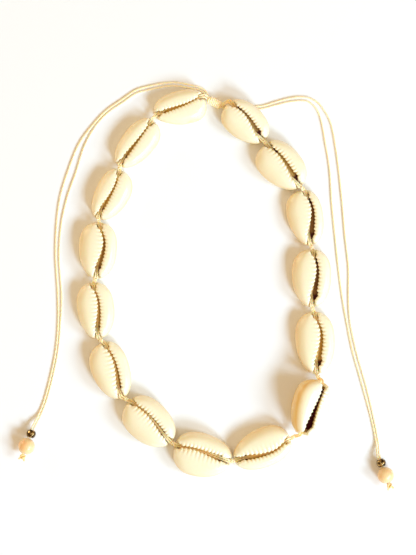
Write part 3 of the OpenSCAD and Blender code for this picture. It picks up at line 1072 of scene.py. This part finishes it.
    def keys(self, angle: float) -> list[Vector]:
        """Find the key points of one section.

        Each row is a point in plan and its height. A mixed height is metres in the notch of a tip, and
        rises to a share of the crown's height elsewhere.

        Args:
            angle: The section's angle.

        Returns:
            Ten points, from the ground rim over the lip to the inner wall.
        """
        out = self.outline(angle, 0)
        inn = self.outline(angle, RIM_WALL)
        edge = self.lip_edge(angle)
        v = math.cos(angle)
        top = self.crown() * (1 - TIP_DROP * abs(v) ** 3)
        rise = soft_step(abs(out.x), *TIP_RISE)
        lip = LIP_WALL * (1 - TIP_THINNING * abs(v) ** 3)
        rows = [
            (inn.lerp(out, 0.55), 0.0),
            (out, mix(0.0009, 0.38 * top, rise)),
            (out.lerp(edge, 0.09), mix(0.0015, 0.68 * top, rise)),
            (out.lerp(edge, 0.36), mix(NOTCH_FLOOR, EDGE_HEIGHT * top, rise)),
            (out.lerp(edge, 0.72), mix(NOTCH_FLOOR, top, rise)),
            (edge, mix(NOTCH_FLOOR, EDGE_HEIGHT * top, rise)),
            (edge.lerp(inn, 0.1), mix(NOTCH_FLOOR - 0.0007, EDGE_HEIGHT * top - lip, rise)),
            (edge.lerp(inn, 0.7), mix(0.0011, 0.56 * top, rise)),
            (edge.lerp(inn, 0.97), mix(0.0007, 0.3 * top, rise)),
            (inn, 0.0),
        ]
        # On the columella side the inner wall swells into the whorl, which crosses under the slit
        if out.x < 0:
            whorl = 1 - soft_step(abs(v), *WHORL_FADE)
            beyond = self.lip_edge(-angle) + Vector((STEEP_REACH if self.is_steep() else WHORL_REACH, 0))
            rows[7] = (edge.lerp(inn, mix(0.7, 0.5, whorl)), mix(0.0011, WHORL_GROOVE, rise))
            rows[8] = (rows[8][0].lerp(beyond, whorl), mix(rows[8][1], WHORL_CREST, whorl))
        return [Vector((p.x, p.y, z)) for p, z in rows]

    def mesh(self) -> bpy.types.Mesh:
        """Build the smooth shell, with the zones and directions that teeth and finish read.

        Returns:
            The mesh.
        """
        angles = self.stations()
        last = max(SECTION_PLACES)
        points: list[Vector] = []
        names = ("zone", "flank", "shade", "slit_station", "lip_push", "rib_push")
        carried: dict[str, list] = {name: [] for name in names}
        for angle in angles:
            keys = self.keys(angle)
            side = math.copysign(1.0, math.sin(angle))
            v = math.cos(angle)
            toothed = 1 - soft_step(abs(v), *TEETH_FADE)
            notched = soft_step(abs(v), *NOTCH_TINT)
            station = self.slit_along(v) / self.length * (1 + LIP_STRETCH * side) + LIP_OFFSET * side
            # Painted shade of the hollow, from the blunt tip through the middle to the narrow tip
            shade = mix(self.middle_shade, self.blunt_shade, soft_step(v, *BLUNT_SHADE))
            shade = mix(shade, self.narrow_shade, soft_step(v, *NARROW_SHADE))
            start = RIB_START + RIB_UNEVEN * math.sin(RIB_WANDER * v + self.number)
            strength = self.ribs if side < 0 else self.lip_ribs
            for place in SECTION_PLACES:
                points.append(self.turning @ section_point(keys, place))
                carried["zone"].append(mix(place, min(place, NOTCH_PLACE), notched) / last)
                # The flanks' tan, partly painted shade, fades upwards from the ground rim
                carried["flank"].append(soft_step(place, *TAN_FADE) * (1.0 if side < 0 else LIP_TAN))
                # The painted shade stops before the whorl's underside, so that it darkens only faces seen
                # from above
                carried["shade"].append(shade * (1 - soft_step(place, *HOLLOW_FADE)))
                carried["slit_station"].append(station)
                bite = soft_step(place, *TOOTH_RISE) * soft_step(place, *TOOTH_FALL) * toothed
                carried["lip_push"].append(self._turned((-side, 0, TOOTH_LEAN)) * bite)
                ribbed = soft_step(place, start, RIB_CREST) * soft_step(place, *RIB_FALL) * toothed
                carried["rib_push"].append(self._turned((0, 0, 1)) * ribbed * strength)
        return self._assembled(points, len(angles), carried)

    def _turned(self, direction: tuple[float, float, float]) -> Vector:
        """Return a direction of the shell's own frame as the necklace turns it."""
        return self.turning.to_3x3() @ Vector(direction)

    def _assembled(self, points: list[Vector], rounds: int, carried: dict[str, list]) -> bpy.types.Mesh:
        """Join rings of points into one closed mesh.

        Args:
            points: Points of all sections, one section after another.
            rounds: Number of sections.
            carried: Values for the points, by attribute.

        Returns:
            The mesh.
        """
        mesh = bpy.data.meshes.new(self.name)
        mesh.from_pydata([p + SHIFT for p in points], [], ring_faces(rounds, len(SECTION_PLACES)))
        for name, values in carried.items():
            is_vector = isinstance(values[0], Vector)
            kind = "FLOAT_VECTOR" if is_vector else "FLOAT"
            attribute = mesh.attributes.new(name, kind, "POINT")
            flat = [c for value in values for c in value] if is_vector else values
            attribute.data.foreach_set("vector" if is_vector else "value", flat)
        mesh.update()
        return mesh

    def make(self, teeth_tree: TeethTree) -> None:
        """Build the shell, raise its teeth and hand it over.

        Args:
            teeth_tree: The tree that raises the teeth.
        """
        finish = ShellGlaze(f"glaze_{self.number:02d}", self.tan_and_shade, self.number * 0.037).material()
        smooth = put_in_scene(self.name + "_cowrie_smooth", self.mesh())
        shell = teeth_tree.raise_teeth(smooth, self.teeth, self.length / USUAL_LENGTH, finish)
        hand_over(shell, Slot.SHELL, self.name)


def section_point(keys: list[Vector], place: float) -> Vector:
    """Find a point on the smooth curve through a section's key points.

    Args:
        keys: The key points.
        place: The place on the curve, counted in key points.

    Returns:
        The point.
    """
    i = min(int(place), len(keys) - 2)
    t = place - i
    start, end = keys[i], keys[i + 1]
    before = keys[i - 1] if i > 0 else start
    after = keys[i + 2] if i + 2 < len(keys) else end
    limit = LONGEST_TANGENT * (end - start).length
    leave, arrive = (end - before) / 2, (after - start) / 2
    if leave.length > limit:
        leave = leave.normalized() * limit
    if arrive.length > limit:
        arrive = arrive.normalized() * limit
    a, b = 2 * t**3 - 3 * t**2 + 1, t**3 - 2 * t**2 + t
    c, d = -2 * t**3 + 3 * t**2, t**3 - t**2
    return a * start + b * leave + c * end + d * arrive


@dataclass
class Threads:
    """The two parallel cords that run from knot to knot through the slits."""

    shells: list[CowrieShell]
    weave: CordWeave
    finish: bpy.types.Material

    def tip_sign(self, i: int) -> int:
        """Return which tip of a shell comes first on the way round, 1 for the blunt one."""
        return 1 if i < FIRST_TURNED else -1

    def knot_point(self, k: int) -> Vector:
        """Find where the knot between two shells stands.

        Args:
            k: Number of the first shell, from 0.

        Returns:
            The knot's middle.
        """
        before, after = self.shells[k], self.shells[k + 1]
        share = 0.5
        if before.is_steep():
            share = KNOT_FROM_STEEP
        elif after.is_steep():
            share = 1 - KNOT_FROM_STEEP
        return before.mouth(-self.tip_sign(k), 0).lerp(after.mouth(self.tip_sign(k + 1), 0), share)

    def knot_way(self, k: int) -> Vector:
        """Find the direction of the cords through a knot.

        Args:
            k: Number of the shell before it, from 0.

        Returns:
            The direction.
        """
        before, after = self.shells[k], self.shells[k + 1]
        start = before.mouth(-self.tip_sign(k), MOUTH_DEPTH)
        return (after.mouth(self.tip_sign(k + 1), MOUTH_DEPTH) - start).normalized()

    def middle(self, i: int) -> tuple[list[Vector], Vector, Vector]:
        """Draw the line between the two cords in a shell.

        Args:
            i: Number of the shell, from 0.

        Returns:
            The line's points, and its directions at both ends.
        """
        shell = self.shells[i]
        is_first, is_last = i == 0, i == len(self.shells) - 1
        row = Vector((0, 0, ROW_HEIGHT))
        bend = -BEND_DEPTH if shell.is_steep() else BEND_DEPTH
        first_in = shell.mouth(self.tip_sign(i), -FIRST_BEND if is_first else bend)
        last_in = shell.mouth(-self.tip_sign(i), -LAST_BEND if is_last else bend)
        way_in = -sliding_way() if is_first else self.knot_way(i - 1)
        way_out = -sliding_way() if is_last else self.knot_way(i)
        start = sliding_end(-1) + row if is_first else self.knot_point(i - 1)
        end = sliding_end(1) + row if is_last else self.knot_point(i)
        head = start + way_in * (-SLIDING_LEAD if is_first else KNOT_LENGTH / 2)
        tail = end - way_out * (-SLIDING_LEAD if is_last else KNOT_LENGTH / 2)
        arch = [] if shell.is_steep() else [shell.arch(v) for v in ARCH_STATIONS]
        if self.tip_sign(i) < 0:
            arch.reverse()
        return [start, head, first_in, *arch, last_in, tail, end], way_in, way_out

    def path(self, i: int, side: Side) -> list[Vector]:
        """Draw one cord through a shell, half a pitch beside the middle line.

        Args:
            i: Number of the shell, from 0.
            side: Which of the two cords.

        Returns:
            The cord's points from knot to knot.
        """
        route, way_in, way_out = self.middle(i)
        shell = self.shells[i]
        across = (shell.placed(1, 0, 0) - shell.placed(0, 0, 0)).normalized() * self.tip_sign(i)
        ways = [way_in]
        for before, here, after in zip(route, route[1:], route[2:]):
            ways.append(((here - before).normalized() + (after - here).normalized()).normalized())
        ways.append(way_out)
        ways[1], ways[-2] = way_in, way_out
        beside = []
        last = len(route) - 1
        for n, (place, way) in enumerate(zip(route, ways)):
            inside = 2 <= n <= last - 2
            mitre = max(LEAST_MITRE, way.dot((place - route[n - 1]).normalized())) if inside else 1.0
            normal = across if shell.is_steep() and inside else flat_normal(way)
            crossing = math.radians(shell.cord_turn) * math.sin(math.pi * n / last) ** 2
            normal = Matrix.Rotation(crossing, 3, way) @ normal
            beside.append(place + normal * side.value * CORD_PITCH / 2 / mitre)
        return self._rounded(beside)

    def _rounded(self, route: list[Vector]) -> list[Vector]:
        """Turn a route into straight runs and short round bends.

        Args:
            route: The route's points.

        Returns:
            Points along it, at most about CORD_STEP apart.
        """
        bent = [route[0]]
        for before, here, after in zip(route, route[1:], route[2:]):
            reach = min(BEND_REACH, (here - before).length * 0.4, (after - here).length * 0.4)
            start = here + (before - here).normalized() * reach
            end = here + (after - here).normalized() * reach
            for n in range(5):
                t = n / 4
                bent.append((1 - t) ** 2 * start + 2 * t * (1 - t) * here + t**2 * end)
        bent.append(route[-1])
        even = [bent[0]]
        for a, b in zip(bent, bent[1:]):
            steps = max(1, round((b - a).length / CORD_STEP))
            even.extend(a.lerp(b, (n + 1) / steps) for n in range(steps))
        return even

    def make(self, side: Side) -> None:
        """Build one of the two cords and hand it over.

        Args:
            side: Which of the two cords.
        """
        node = f"string_{side.name.lower()}"
        paths = [self.path(i, side) for i in range(len(self.shells))]
        piece = self.weave.weave(node + "_cord", paths, self.finish)
        hand_over(piece, Slot.CORD, node)


def sliding_way() -> Vector:
    """Return the direction of the sliding knot's axis, from its left end to its right one."""
    way = (SLIDING_END - SLIDING_START).normalized()
    return Vector((way.x, way.y, 0))


def sliding_end(side: int) -> Vector:
    """Return the middle of one end of the sliding knot, -1 for the left one."""
    end = SLIDING_START if side < 0 else SLIDING_END
    return Vector((end.x, end.y, SLIDING_RADIUS))


def axes_along(way: Vector) -> tuple[Vector, Vector]:
    """Return two directions square to a way and to each other."""
    across = flat_normal(way)
    return across, way.cross(across)


def overhand_path(centre: Vector, way: Vector, radius: float, reach: float, turn: float) -> list[Vector]:
    """Draw a tightened overhand knot round an axis.

    Args:
        centre: The knot's middle.
        way: Its axis.
        radius: Largest distance of the cord's middle from the axis.
        reach: Half the knot's length, less the cord's radius.
        turn: Turn about the axis, which sets the side that faces up.

    Returns:
        Points of a closed path.
    """
    across, up = axes_along(way)
    points = []
    count = 96
    waver = radius * 0.30
    for n in range(count):
        a = TURN * n / count
        distance = radius - waver + waver * math.cos(3 * a)
        swing = 2 * a + turn
        points.append(
            centre
            + across * distance * math.cos(swing)
            + up * distance * math.sin(swing)
            + way * reach * math.sin(3 * a)
        )
    return points


def wound_path(
    start: Vector, way: Vector, radius: float, length: float, wraps: float, wander: random.Random
) -> list[Vector]:
    """Draw wraps of cord round an axis, tucked in at both ends.

    Args:
        start: Where the axis starts.
        way: The axis.
        radius: Distance of the cord's middle from the axis.
        length: Length that the wraps fill.
        wraps: Number of wraps.
        wander: Source of the small differences between wraps.

    Returns:
        Points of the path.
    """
    across, up = axes_along(way)
    steps = round(wraps * WRAP_POINTS)
    drift = [wander.uniform(-1, 1) for _ in range(round(wraps) + 2)]
    points = []
    for n in range(steps + 1):
        turns = wraps * n / steps
        whole = int(turns)
        uneven = mix(drift[whole], drift[whole + 1], turns - whole)
        tuck = soft_step(min(n, steps - n), 0, TUCK_POINTS)
        distance = radius * mix(TUCKED_SHARE, 1.0, tuck) * (1 + WRAP_SWELL * uneven)
        place = length * (turns / wraps) + WRAP_DRIFT * uneven
        points.append(
            start
            + way * place
            + across * distance * math.cos(TURN * turns)
            + up * distance * math.sin(TURN * turns)
        )
    return points


@dataclass
class Knots:
    """The knots between the shells, the sliding knot and the tails' end knots."""

    threads: Threads
    weave: CordWeave
    finish: bpy.types.Material
    cut_finish: bpy.types.Material

    def make_between(self, k: int) -> None:
        """Build the knot between two shells.

        Args:
            k: Number of the first shell, from 0.
        """
        node = f"string_knot_{k + 1:02d}"
        path = overhand_path(
            self.threads.knot_point(k),
            self.threads.knot_way(k),
            KNOT_RADIUS - KNOT_CORD,
            KNOT_LENGTH / 2 - KNOT_CORD,
            k * KNOT_TURN,
        )
        piece = self.weave.weave(node + "_tied", [path], self.finish, KNOT_CORD, closed=True)
        hand_over(piece, Slot.CORD, node)

    def make_sliding(self) -> None:
        """Build the wrapped knot that closes the loop."""
        length = (SLIDING_END - SLIDING_START).length
        inset = length / SLIDING_WRAPS / 2 * WRAP_FIT
        cord = inset * WRAP_OVERLAP
        way = sliding_way()
        start = sliding_end(-1) + way * inset
        wander = random.Random(5)
        wraps = wound_path(
            start, way, SLIDING_RADIUS - cord, length - 2 * inset, SLIDING_WRAPS - 1, wander
        )
        core = [sliding_end(-1) + way * length * n / 12 for n in range(1, 12)]
        piece = self.weave.weave("sliding_knot_wound", [wraps, core], self.finish, cord)
        hand_over(piece, Slot.CORD, "sliding_knot")

    def make_end(self, tail: "TailEnd") -> bpy.types.Object:
        """Build the knot that stops a tail's beads, with its two cut ends.

        Args:
            tail: Where the tail ends.

        Returns:
            The knot.
        """
        cord = END_KNOT_CORD
        centre = tail.end_knot_face() + tail.way * END_KNOT_LENGTH / 2
        lump = overhand_path(centre, tail.way, END_KNOT_RADIUS - cord, END_KNOT_LENGTH / 2 - cord, 0.6)
        across, up = axes_along(tail.way)
        shares = [n / 6 for n in range(7)]
        tips = []
        for side in (1, -1):
            root = centre + across * side * cord
            lean = (tail.way + across * side * END_TIP_SPREAD).normalized()
            tips.append([root + lean * END_TIP_LENGTH * t - up * END_TIP_DROOP * t**2 for t in shares])
        node = f"end_knot_{tail.label}"
        piece = self.weave.weave(node + "_tied", [lump, *tips], self.cut_finish, cord, closed=True)
        hand_over(piece, Slot.CORD, node)
        return piece


@dataclass
class TailEnd:
    """Where one tail ends: its metal bead, wooden bead and knot, which rest on the surface."""

    label: str
    place: Vector
    heading: float

    @property
    def way(self) -> Vector:
        """Return the direction of the cords through the beads."""
        level = Vector((math.cos(self.heading), math.sin(self.heading), 0))
        return level * math.cos(BEAD_SLOPE) + Vector((0, 0, math.sin(BEAD_SLOPE)))

    def wood_centre(self) -> Vector:
        """Return the middle of the wooden bead."""
        return Vector((self.place.x, self.place.y, WOOD_RADIUS))

    def metal_centre(self) -> Vector:
        """Return the middle of the metal bead."""
        return self.wood_centre() - self.way * (WOOD_RADIUS + METAL_RADIUS + BEAD_GAP)

    def end_knot_face(self) -> Vector:
        """Return where the end knot starts."""
        return self.wood_centre() + self.way * (WOOD_RADIUS + END_KNOT_GAP)

    def last_points(self, side: int) -> list[Vector]:
        """Lead a strand through the beads.

        Args:
            side: The side of the strand, 1 or -1.

        Returns:
            Its points before the metal bead and at the end knot.
        """
        entry = self.metal_centre() - self.way * (METAL_RADIUS + BEAD_REACH)
        beside = flat_normal(self.way) * side * CORD_PITCH / 2
        return [entry + beside, self.end_knot_face() + beside]


@dataclass
class Tail:
    """One of the two strands of a free tail, on the surface from the sliding knot to its beads."""

    node: str
    route: list[tuple[float, ...]]
    side: int
    end: TailEnd

    def path(self) -> list[Vector]:
        """Draw the strand's middle line from inside the sliding knot to the end knot.

        Returns:
            The line's points.
        """
        knot_side = -1 if self.end.label == "left" else 1
        way = sliding_way() * knot_side
        start = sliding_end(knot_side) + flat_normal(way) * self.side * CORD_PITCH / 2
        start -= Vector((0, 0, ROW_HEIGHT))
        on_surface = [Vector((*place, CORD_RADIUS)[:3]) for place in self.route]
        points = [start, *on_surface, *self.end.last_points(self.side)]
        points.append(points[-1] + self.end.way * STRAND_END)
        path = rounded_path(points)
        for place in path:
            place.z = max(place.z, CORD_RADIUS)
        return path

    def make(
        self, weave: CordWeave, finish: bpy.types.Material
    ) -> tuple[bpy.types.Object, list[Vector]]:
        """Build the strand and hand it over.

        Args:
            weave: The tree that makes cord.
            finish: The cord's material.

        Returns:
            The strand, and the points that it follows in the frame.
        """
        path = self.path()
        piece = weave.weave(self.node + "_cord", [path], finish)
        hand_over(piece, Slot.CORD, self.node)
        return piece, [p + SHIFT for p in path]


@dataclass
class Bead:
    """A drilled bead, turned round the tail that passes through it."""

    name: str
    centre: Vector
    way: Vector
    radius: float
    slot: Slot
    dents: float

    def profile(self) -> list[tuple[float, float]]:
        """Draw half a section: along the bore, round its rim and over the outside.

        Returns:
            Distances from the axis, and places along it.
        """
        start = math.asin((BORE_RADIUS + BORE_RIM) / self.radius)
        angles = [mix(start, math.pi - start, n / 40) for n in range(41)]
        outside = [(self.radius * math.sin(a), self.radius * math.cos(a)) for a in angles]
        top = outside[0][1]
        lip = [
            (BORE_RADIUS + BORE_RIM * (1 - math.cos(a)), top - BORE_RIM * 0.9 * (1 - math.sin(a)))
            for a in (0.0, 0.7, 1.2)
        ]
        bore = [(BORE_RADIUS, mix(BORE_RIM - top, top - BORE_RIM, n / 6)) for n in range(1, 6)]
        under = [(x, -z) for x, z in reversed(lip)]
        return bore + lip + outside + under

    def make(self, finish: bpy.types.Material) -> bpy.types.Object:
        """Turn the bead, dent it a little and hand it over.

        Args:
            finish: The bead's material.

        Returns:
            The bead.
        """
        across, up = axes_along(self.way)
        profile = self.profile()
        rounds = 64
        wander = random.Random(len(self.name) * 7 + 3)
        bumps = [(wander.uniform(1, 6), wander.uniform(0, TURN), wander.uniform(2, 7)) for _ in range(5)]
        points = []
        for i in range(rounds):
            a = TURN * i / rounds
            ray = across * math.cos(a) + up * math.sin(a)
            for x, z in profile:
                worn = sum(math.cos(p * a + q) * math.cos(r * z / self.radius * 2) for p, q, r in bumps)
                share = 1 - self.dents * (1 + 0.2 * worn) if x > BORE_RADIUS * 1.3 else 1.0
                points.append(self.centre + SHIFT + (ray * x + self.way * z) * share)
        outward = [(a, d, c, b) for a, b, c, d in ring_faces(rounds, len(profile))]
        mesh = bpy.data.meshes.new(self.name)
        mesh.from_pydata(points, [], outward)
        mesh.shade_smooth()
        mesh.materials.append(finish)
        piece = put_in_scene(self.name + "_turned", mesh)
        hand_over(piece, self.slot, self.name)
        return piece


@dataclass(frozen=True)
class Lamp:
    """A soft round lamp over the necklace: angles in degrees, lengths in metres, power in watts."""

    name: str
    azimuth: float
    height: float
    size: float
    power: float
    distance: float
    colour: Colour = LAMP_COLOUR

    def hang(self) -> None:
        """Put the lamp in the scene."""
        lamp = bpy.data.lights.new(self.name, "AREA")
        lamp.shape = "DISK"
        lamp.size = self.size
        lamp.energy = self.power
        lamp.color = self.colour
        a, h = math.radians(self.azimuth), math.radians(self.height)
        way = Vector((math.cos(a) * math.cos(h), math.sin(a) * math.cos(h), math.sin(h)))
        hung = put_in_scene(self.name, lamp)
        hung.location = way * self.distance
        hung.rotation_euler = way.to_track_quat("Z", "Y").to_euler()


@dataclass(frozen=True)
class Studio:
    """The camera over the necklace, the surface and the light. The view spans what the photograph spans."""

    lens: float = 140.0
    sensor: float = 36.0
    view_height: float = 0.2331
    view_middle: tuple[float, float] = (0.00093, 0.00236)
    surface_half: float = 3.0
    surface_height: float = -0.00002
    room_strength: float = 0.56
    lamps: tuple[Lamp, ...] = (
        Lamp("lamp_right", -17, 35, 0.80, 27.0, 2.2),
        Lamp("lamp_lower_right", -52, 36, 0.70, 37.5, 2.2),
        Lamp("lamp_above", 100, 80, 2.2, 6.8, 2.2),
        Lamp("lamp_left", 146, 14, 0.40, 1.70, 0.9, FILL_COLOUR),
    )

    def place_camera(self) -> None:
        """Look straight down, with the photograph's height in view."""
        lens = bpy.data.cameras.new("camera")
        lens.lens = self.lens
        lens.sensor_width = self.sensor
        lens.clip_end = 10
        camera = put_in_scene("camera", lens)
        camera.location = (*self.view_middle, self.view_height * self.lens / self.sensor)
        bpy.context.scene.camera = camera

    def lay_surface(self) -> None:
        """Lay a pale matt surface just under the necklace."""
        half = self.surface_half
        corners = [(-half, -half, 0), (half, -half, 0), (half, half, 0), (-half, half, 0)]
        mesh = bpy.data.meshes.new("surface")
        mesh.from_pydata(corners, [], [(0, 1, 2, 3)])
        material, tree = new_shader("surface_white")
        close_shader(tree, {"Base Color": (*SURFACE_COLOUR, 1), "Roughness": 0.9})
        mesh.materials.append(material)
        surface = put_in_scene("surface", mesh)
        surface.location.z = self.surface_height

    def set_lights(self) -> None:
        """Hang the lamps and fill the shadows with warm light."""
        for lamp in self.lamps:
            lamp.hang()
        world = bpy.data.worlds.new("room")
        world.use_nodes = True
        background = world.node_tree.nodes["Background"]
        background.inputs["Color"].default_value = (*ROOM_COLOUR, 1)
        background.inputs["Strength"].default_value = self.room_strength
        bpy.context.scene.world = world
        bpy.context.scene.view_settings.view_transform = "Standard"


# The shells from the sliding knot down the left side and up the right one. Columns: blunt tip, narrow tip,
# half width on the columella side and on the lip side, bow of the slit, lean of the outline, roll and
# pitch in degrees, share of the usual slit, and extra opening near the narrow tip
SHELLS = (
    ((-0.0008, 0.0784), (-0.0213, 0.0701), 0.0062, 0.0084, 0.0006, 0.35, 0, 0, 0.7, 0),
    ((-0.0222, 0.0681), (-0.0364, 0.0492), 0.0062, 0.0078, 0.0002, 0.15, 0, 0, 0.75, 0),
    ((-0.0356, 0.0473), (-0.0454, 0.0271), 0.006, 0.0085, 0.0009, 0.1, 0, 0, 0.8, 0),
    ((-0.0443, 0.0253), (-0.0458, 0.0018), 0.0081, 0.008, 0.0025, 0, 0, 0, 1, 0.0002),
    ((-0.0472, 0.0002), (-0.045, -0.0234), 0.0076, 0.008, 0.0017, 0, 0, 0, 0.9, 0),
    ((-0.0423, -0.0248), (-0.0353, -0.0483), 0.0088, 0.0071, 0.0015, 0, 4, 0, 0.9, 0),
    ((-0.0316, -0.0491), (-0.0145, -0.0667), 0.0096, 0.0081, 0.0013, 0, 2, 0, 0.85, 0),
    ((-0.0129, -0.0676), (0.0106, -0.0748), 0.0102, 0.0082, 0.001, 0, 0, 0, 1, 0.0002),
    ((0.0354, -0.0651), (0.012, -0.0743), 0.0087, 0.0076, 0.0021, 0, 0, 0, 0.95, 0),
    ((0.0485, -0.0411), (0.0394, -0.063), 0.0088, 0.0082, -0.0006, -0.15, 32, 0, 1.5, 0.0003),
    ((0.0456, -0.0121), (0.0462, -0.0381), 0.0083, 0.0082, 0.0024, 0, 0, 0, 1.1, 0.0006),
    ((0.045, 0.0141), (0.0443, -0.0101), 0.0086, 0.0079, 0.0019, 0, 0, 0, 1.1, 0.0006),
    ((0.0416, 0.0389), (0.0437, 0.0157), 0.0084, 0.0066, 0.0022, -0.1, 0, 0, 1.15, 0.0004),
    ((0.0254, 0.0585), (0.0395, 0.0401), 0.0094, 0.0079, 0.0013, -0.1, 0, 0, 1, 0.0005),
    ((0.0103, 0.0757), (0.0242, 0.0592), 0.0084, 0.0071, 0.0015, -0.15, -2, 4, 0.95, 0.0005),
)

# How the same shells look. Columns: number of teeth that fill the length, strength of the ribs on the
# columella side and on the lip side, strength of the flanks' tan, partly painted shade, how much painted
# shade darkens the hollow at the blunt tip, in the middle and at the narrow tip, how far the cords lie to
# the lip side of the slit's middle, and in degrees how far one of them climbs over the other there
SHELL_LOOKS = (
    (15, 0.5, 0.3, 0, 0, 0, 0.4, -0.0009, 80),
    (15, 0.7, 0.3, 0.2, 0.1, 0.2, 0.75, -0.0009, 80),
    (16, 1, 0.9, 0.4, 0, 0.1, 0.75, -0.0008, 80),
    (15, 0.5, 0.4, 0.2, 0, 0.35, 0.85, -0.0007, 70),
    (16, 1, 0.5, 0.2, 0.2, 0.2, 0.9, -0.00045, 60),
    (15, 1, 0.7, 0.5, 0.2, 0.2, 0.85, -0.00025, 50),
    (16, 0.5, 1.0, 0.1, 0.3, 0.25, 0.8, 0, 80),
    (15, 0.8, 0.8, 0.4, 0, 0.05, 0.85, 0.0001, 20),
    (15, 1.2, 0.9, 0.8, 0, 0, 0.95, 0.0002, 60),
    (15, 0.1, 0.9, 2.6, 0.99, 0.97, 1, 0, 0),
    (16, 0.4, 1.3, 0.8, 0, 0.05, 1, -0.00035, 80),
    (15, 0.25, 0.9, 0.8, 0.97, 0.6, 1, -0.0008, 80),
    (15, 0.25, 0.8, 0.8, 0.97, 0.6, 1, -0.0009, 80),
    (15, 0.3, 1.5, 0.2, 0.95, 0.15, 1, -0.0009, 80),
    (15, 0.2, 1.1, 0.3, 0.9, 0.4, 1, -0.0009, 80),
)


def lay_tails(weave: CordWeave, left: TailEnd, right: TailEnd) -> list[tuple]:
    """Build the four strands of the tails.

    Args:
        weave: The tree that makes cord.
        left: The left tail's end.
        right: The right tail's end.

    Returns:
        Each tail with its piece and its path.
    """
    finish = WaxedCord("waxed_cord").material()
    tails = [
        Tail("tail_left_outer", TAIL_LEFT_OUTER, -1, left),
        Tail("tail_left_inner", TAIL_LEFT_INNER, 1, left),
        Tail("tail_right_outer", TAIL_RIGHT_OUTER, 1, right),
        Tail("tail_right_inner", TAIL_RIGHT_INNER, -1, right),
    ]
    return [(tail, *tail.make(weave, finish)) for tail in tails]


def thread_shells(weave: CordWeave, shells: list[CowrieShell]) -> Threads:
    """Build the two cords that run through the shells.

    Args:
        weave: The tree that makes cord.
        shells: The shells, in order round the loop.

    Returns:
        The two cords' routes.
    """
    # The cords in the shells are a deeper amber, painted as the shade of the slits, and take their paler
    # lit colour below a height at the tips
    slit_shaded_cord = WaxedCord(
        "threaded_cord",
        light=(1.0, 0.78, 0.36),
        dark=(1.0, 0.53, 0.12),
        worn=(1.0, 0.82, 0.44),
        painted_glow=0.05,
        lit_below=0.0048,
    )
    threads = Threads(shells, weave, slit_shaded_cord.material())
    for side in Side:
        threads.make(side)
    return threads


def tie_knots(weave: CordWeave, threads: Threads) -> Knots:
    """Build the knots between the shells and the sliding knot.

    Args:
        weave: The tree that makes cord.
        threads: The cords' routes.

    Returns:
        The maker of the knots, for the tails' end knots.
    """
    # Pale knots with a stronger painted glow
    pale = WaxedCord(
        "knotted_cord", light=(1.0, 0.93, 0.70), dark=(1.0, 0.79, 0.43), worn=(1.0, 0.94, 0.76), painted_glow=0.14
    )
    cut = WaxedCord("cut_cord", light=(1.0, 0.78, 0.40), dark=(0.95, 0.52, 0.15), worn=(1.0, 0.82, 0.46))
    knots = Knots(threads, weave, pale.material(), cut.material())
    for k in range(len(threads.shells) - 1):
        knots.make_between(k)
    knots.make_sliding()
    return knots


def string_beads(knots: Knots, ends: tuple[TailEnd, ...]) -> dict[str, list[bpy.types.Object]]:
    """Build the beads and the end knot of each tail.

    Args:
        knots: The maker of the knots.
        ends: Where the tails end.

    Returns:
        The pieces on each tail, by its label.
    """
    brass = AgedBrass("aged_brass").material()
    on_tail = {}
    for end in ends:
        label, way = end.label, end.way
        wood = PaleWood(f"pale_wood_{label}", way).material()
        metal = (f"metal_bead_{label}", end.metal_centre(), way, METAL_RADIUS, Slot.METAL, METAL_DENTS)
        wooden = (f"wood_bead_{label}", end.wood_centre(), way, WOOD_RADIUS, Slot.WOOD, WOOD_DENTS)
        on_tail[label] = [Bead(*metal).make(brass), Bead(*wooden).make(wood), knots.make_end(end)]
    return on_tail


def main() -> None:
    """Build the necklace from its cords to its shells."""
    logging.basicConfig(level=logging.INFO, format="%(message)s")
    studio = Studio()
    studio.place_camera()
    weave = CordWeave()
    ends = (
        TailEnd("left", LEFT_BEAD, math.radians(LEFT_HEADING)),
        TailEnd("right", RIGHT_BEAD, math.radians(RIGHT_HEADING)),
    )
    made = lay_tails(weave, *ends)
    shells = [
        CowrieShell(number, *shape, *looks)
        for number, (shape, looks) in enumerate(zip(SHELLS, SHELL_LOOKS), start=1)
    ]
    threads = thread_shells(weave, shells)
    knots = tie_knots(weave, threads)
    string_beads(knots, ends)
    teeth_tree = TeethTree()
    for shell in shells:
        shell.make(teeth_tree)
    studio.lay_surface()
    studio.set_lights()


if __name__ == "__main__":
    main()
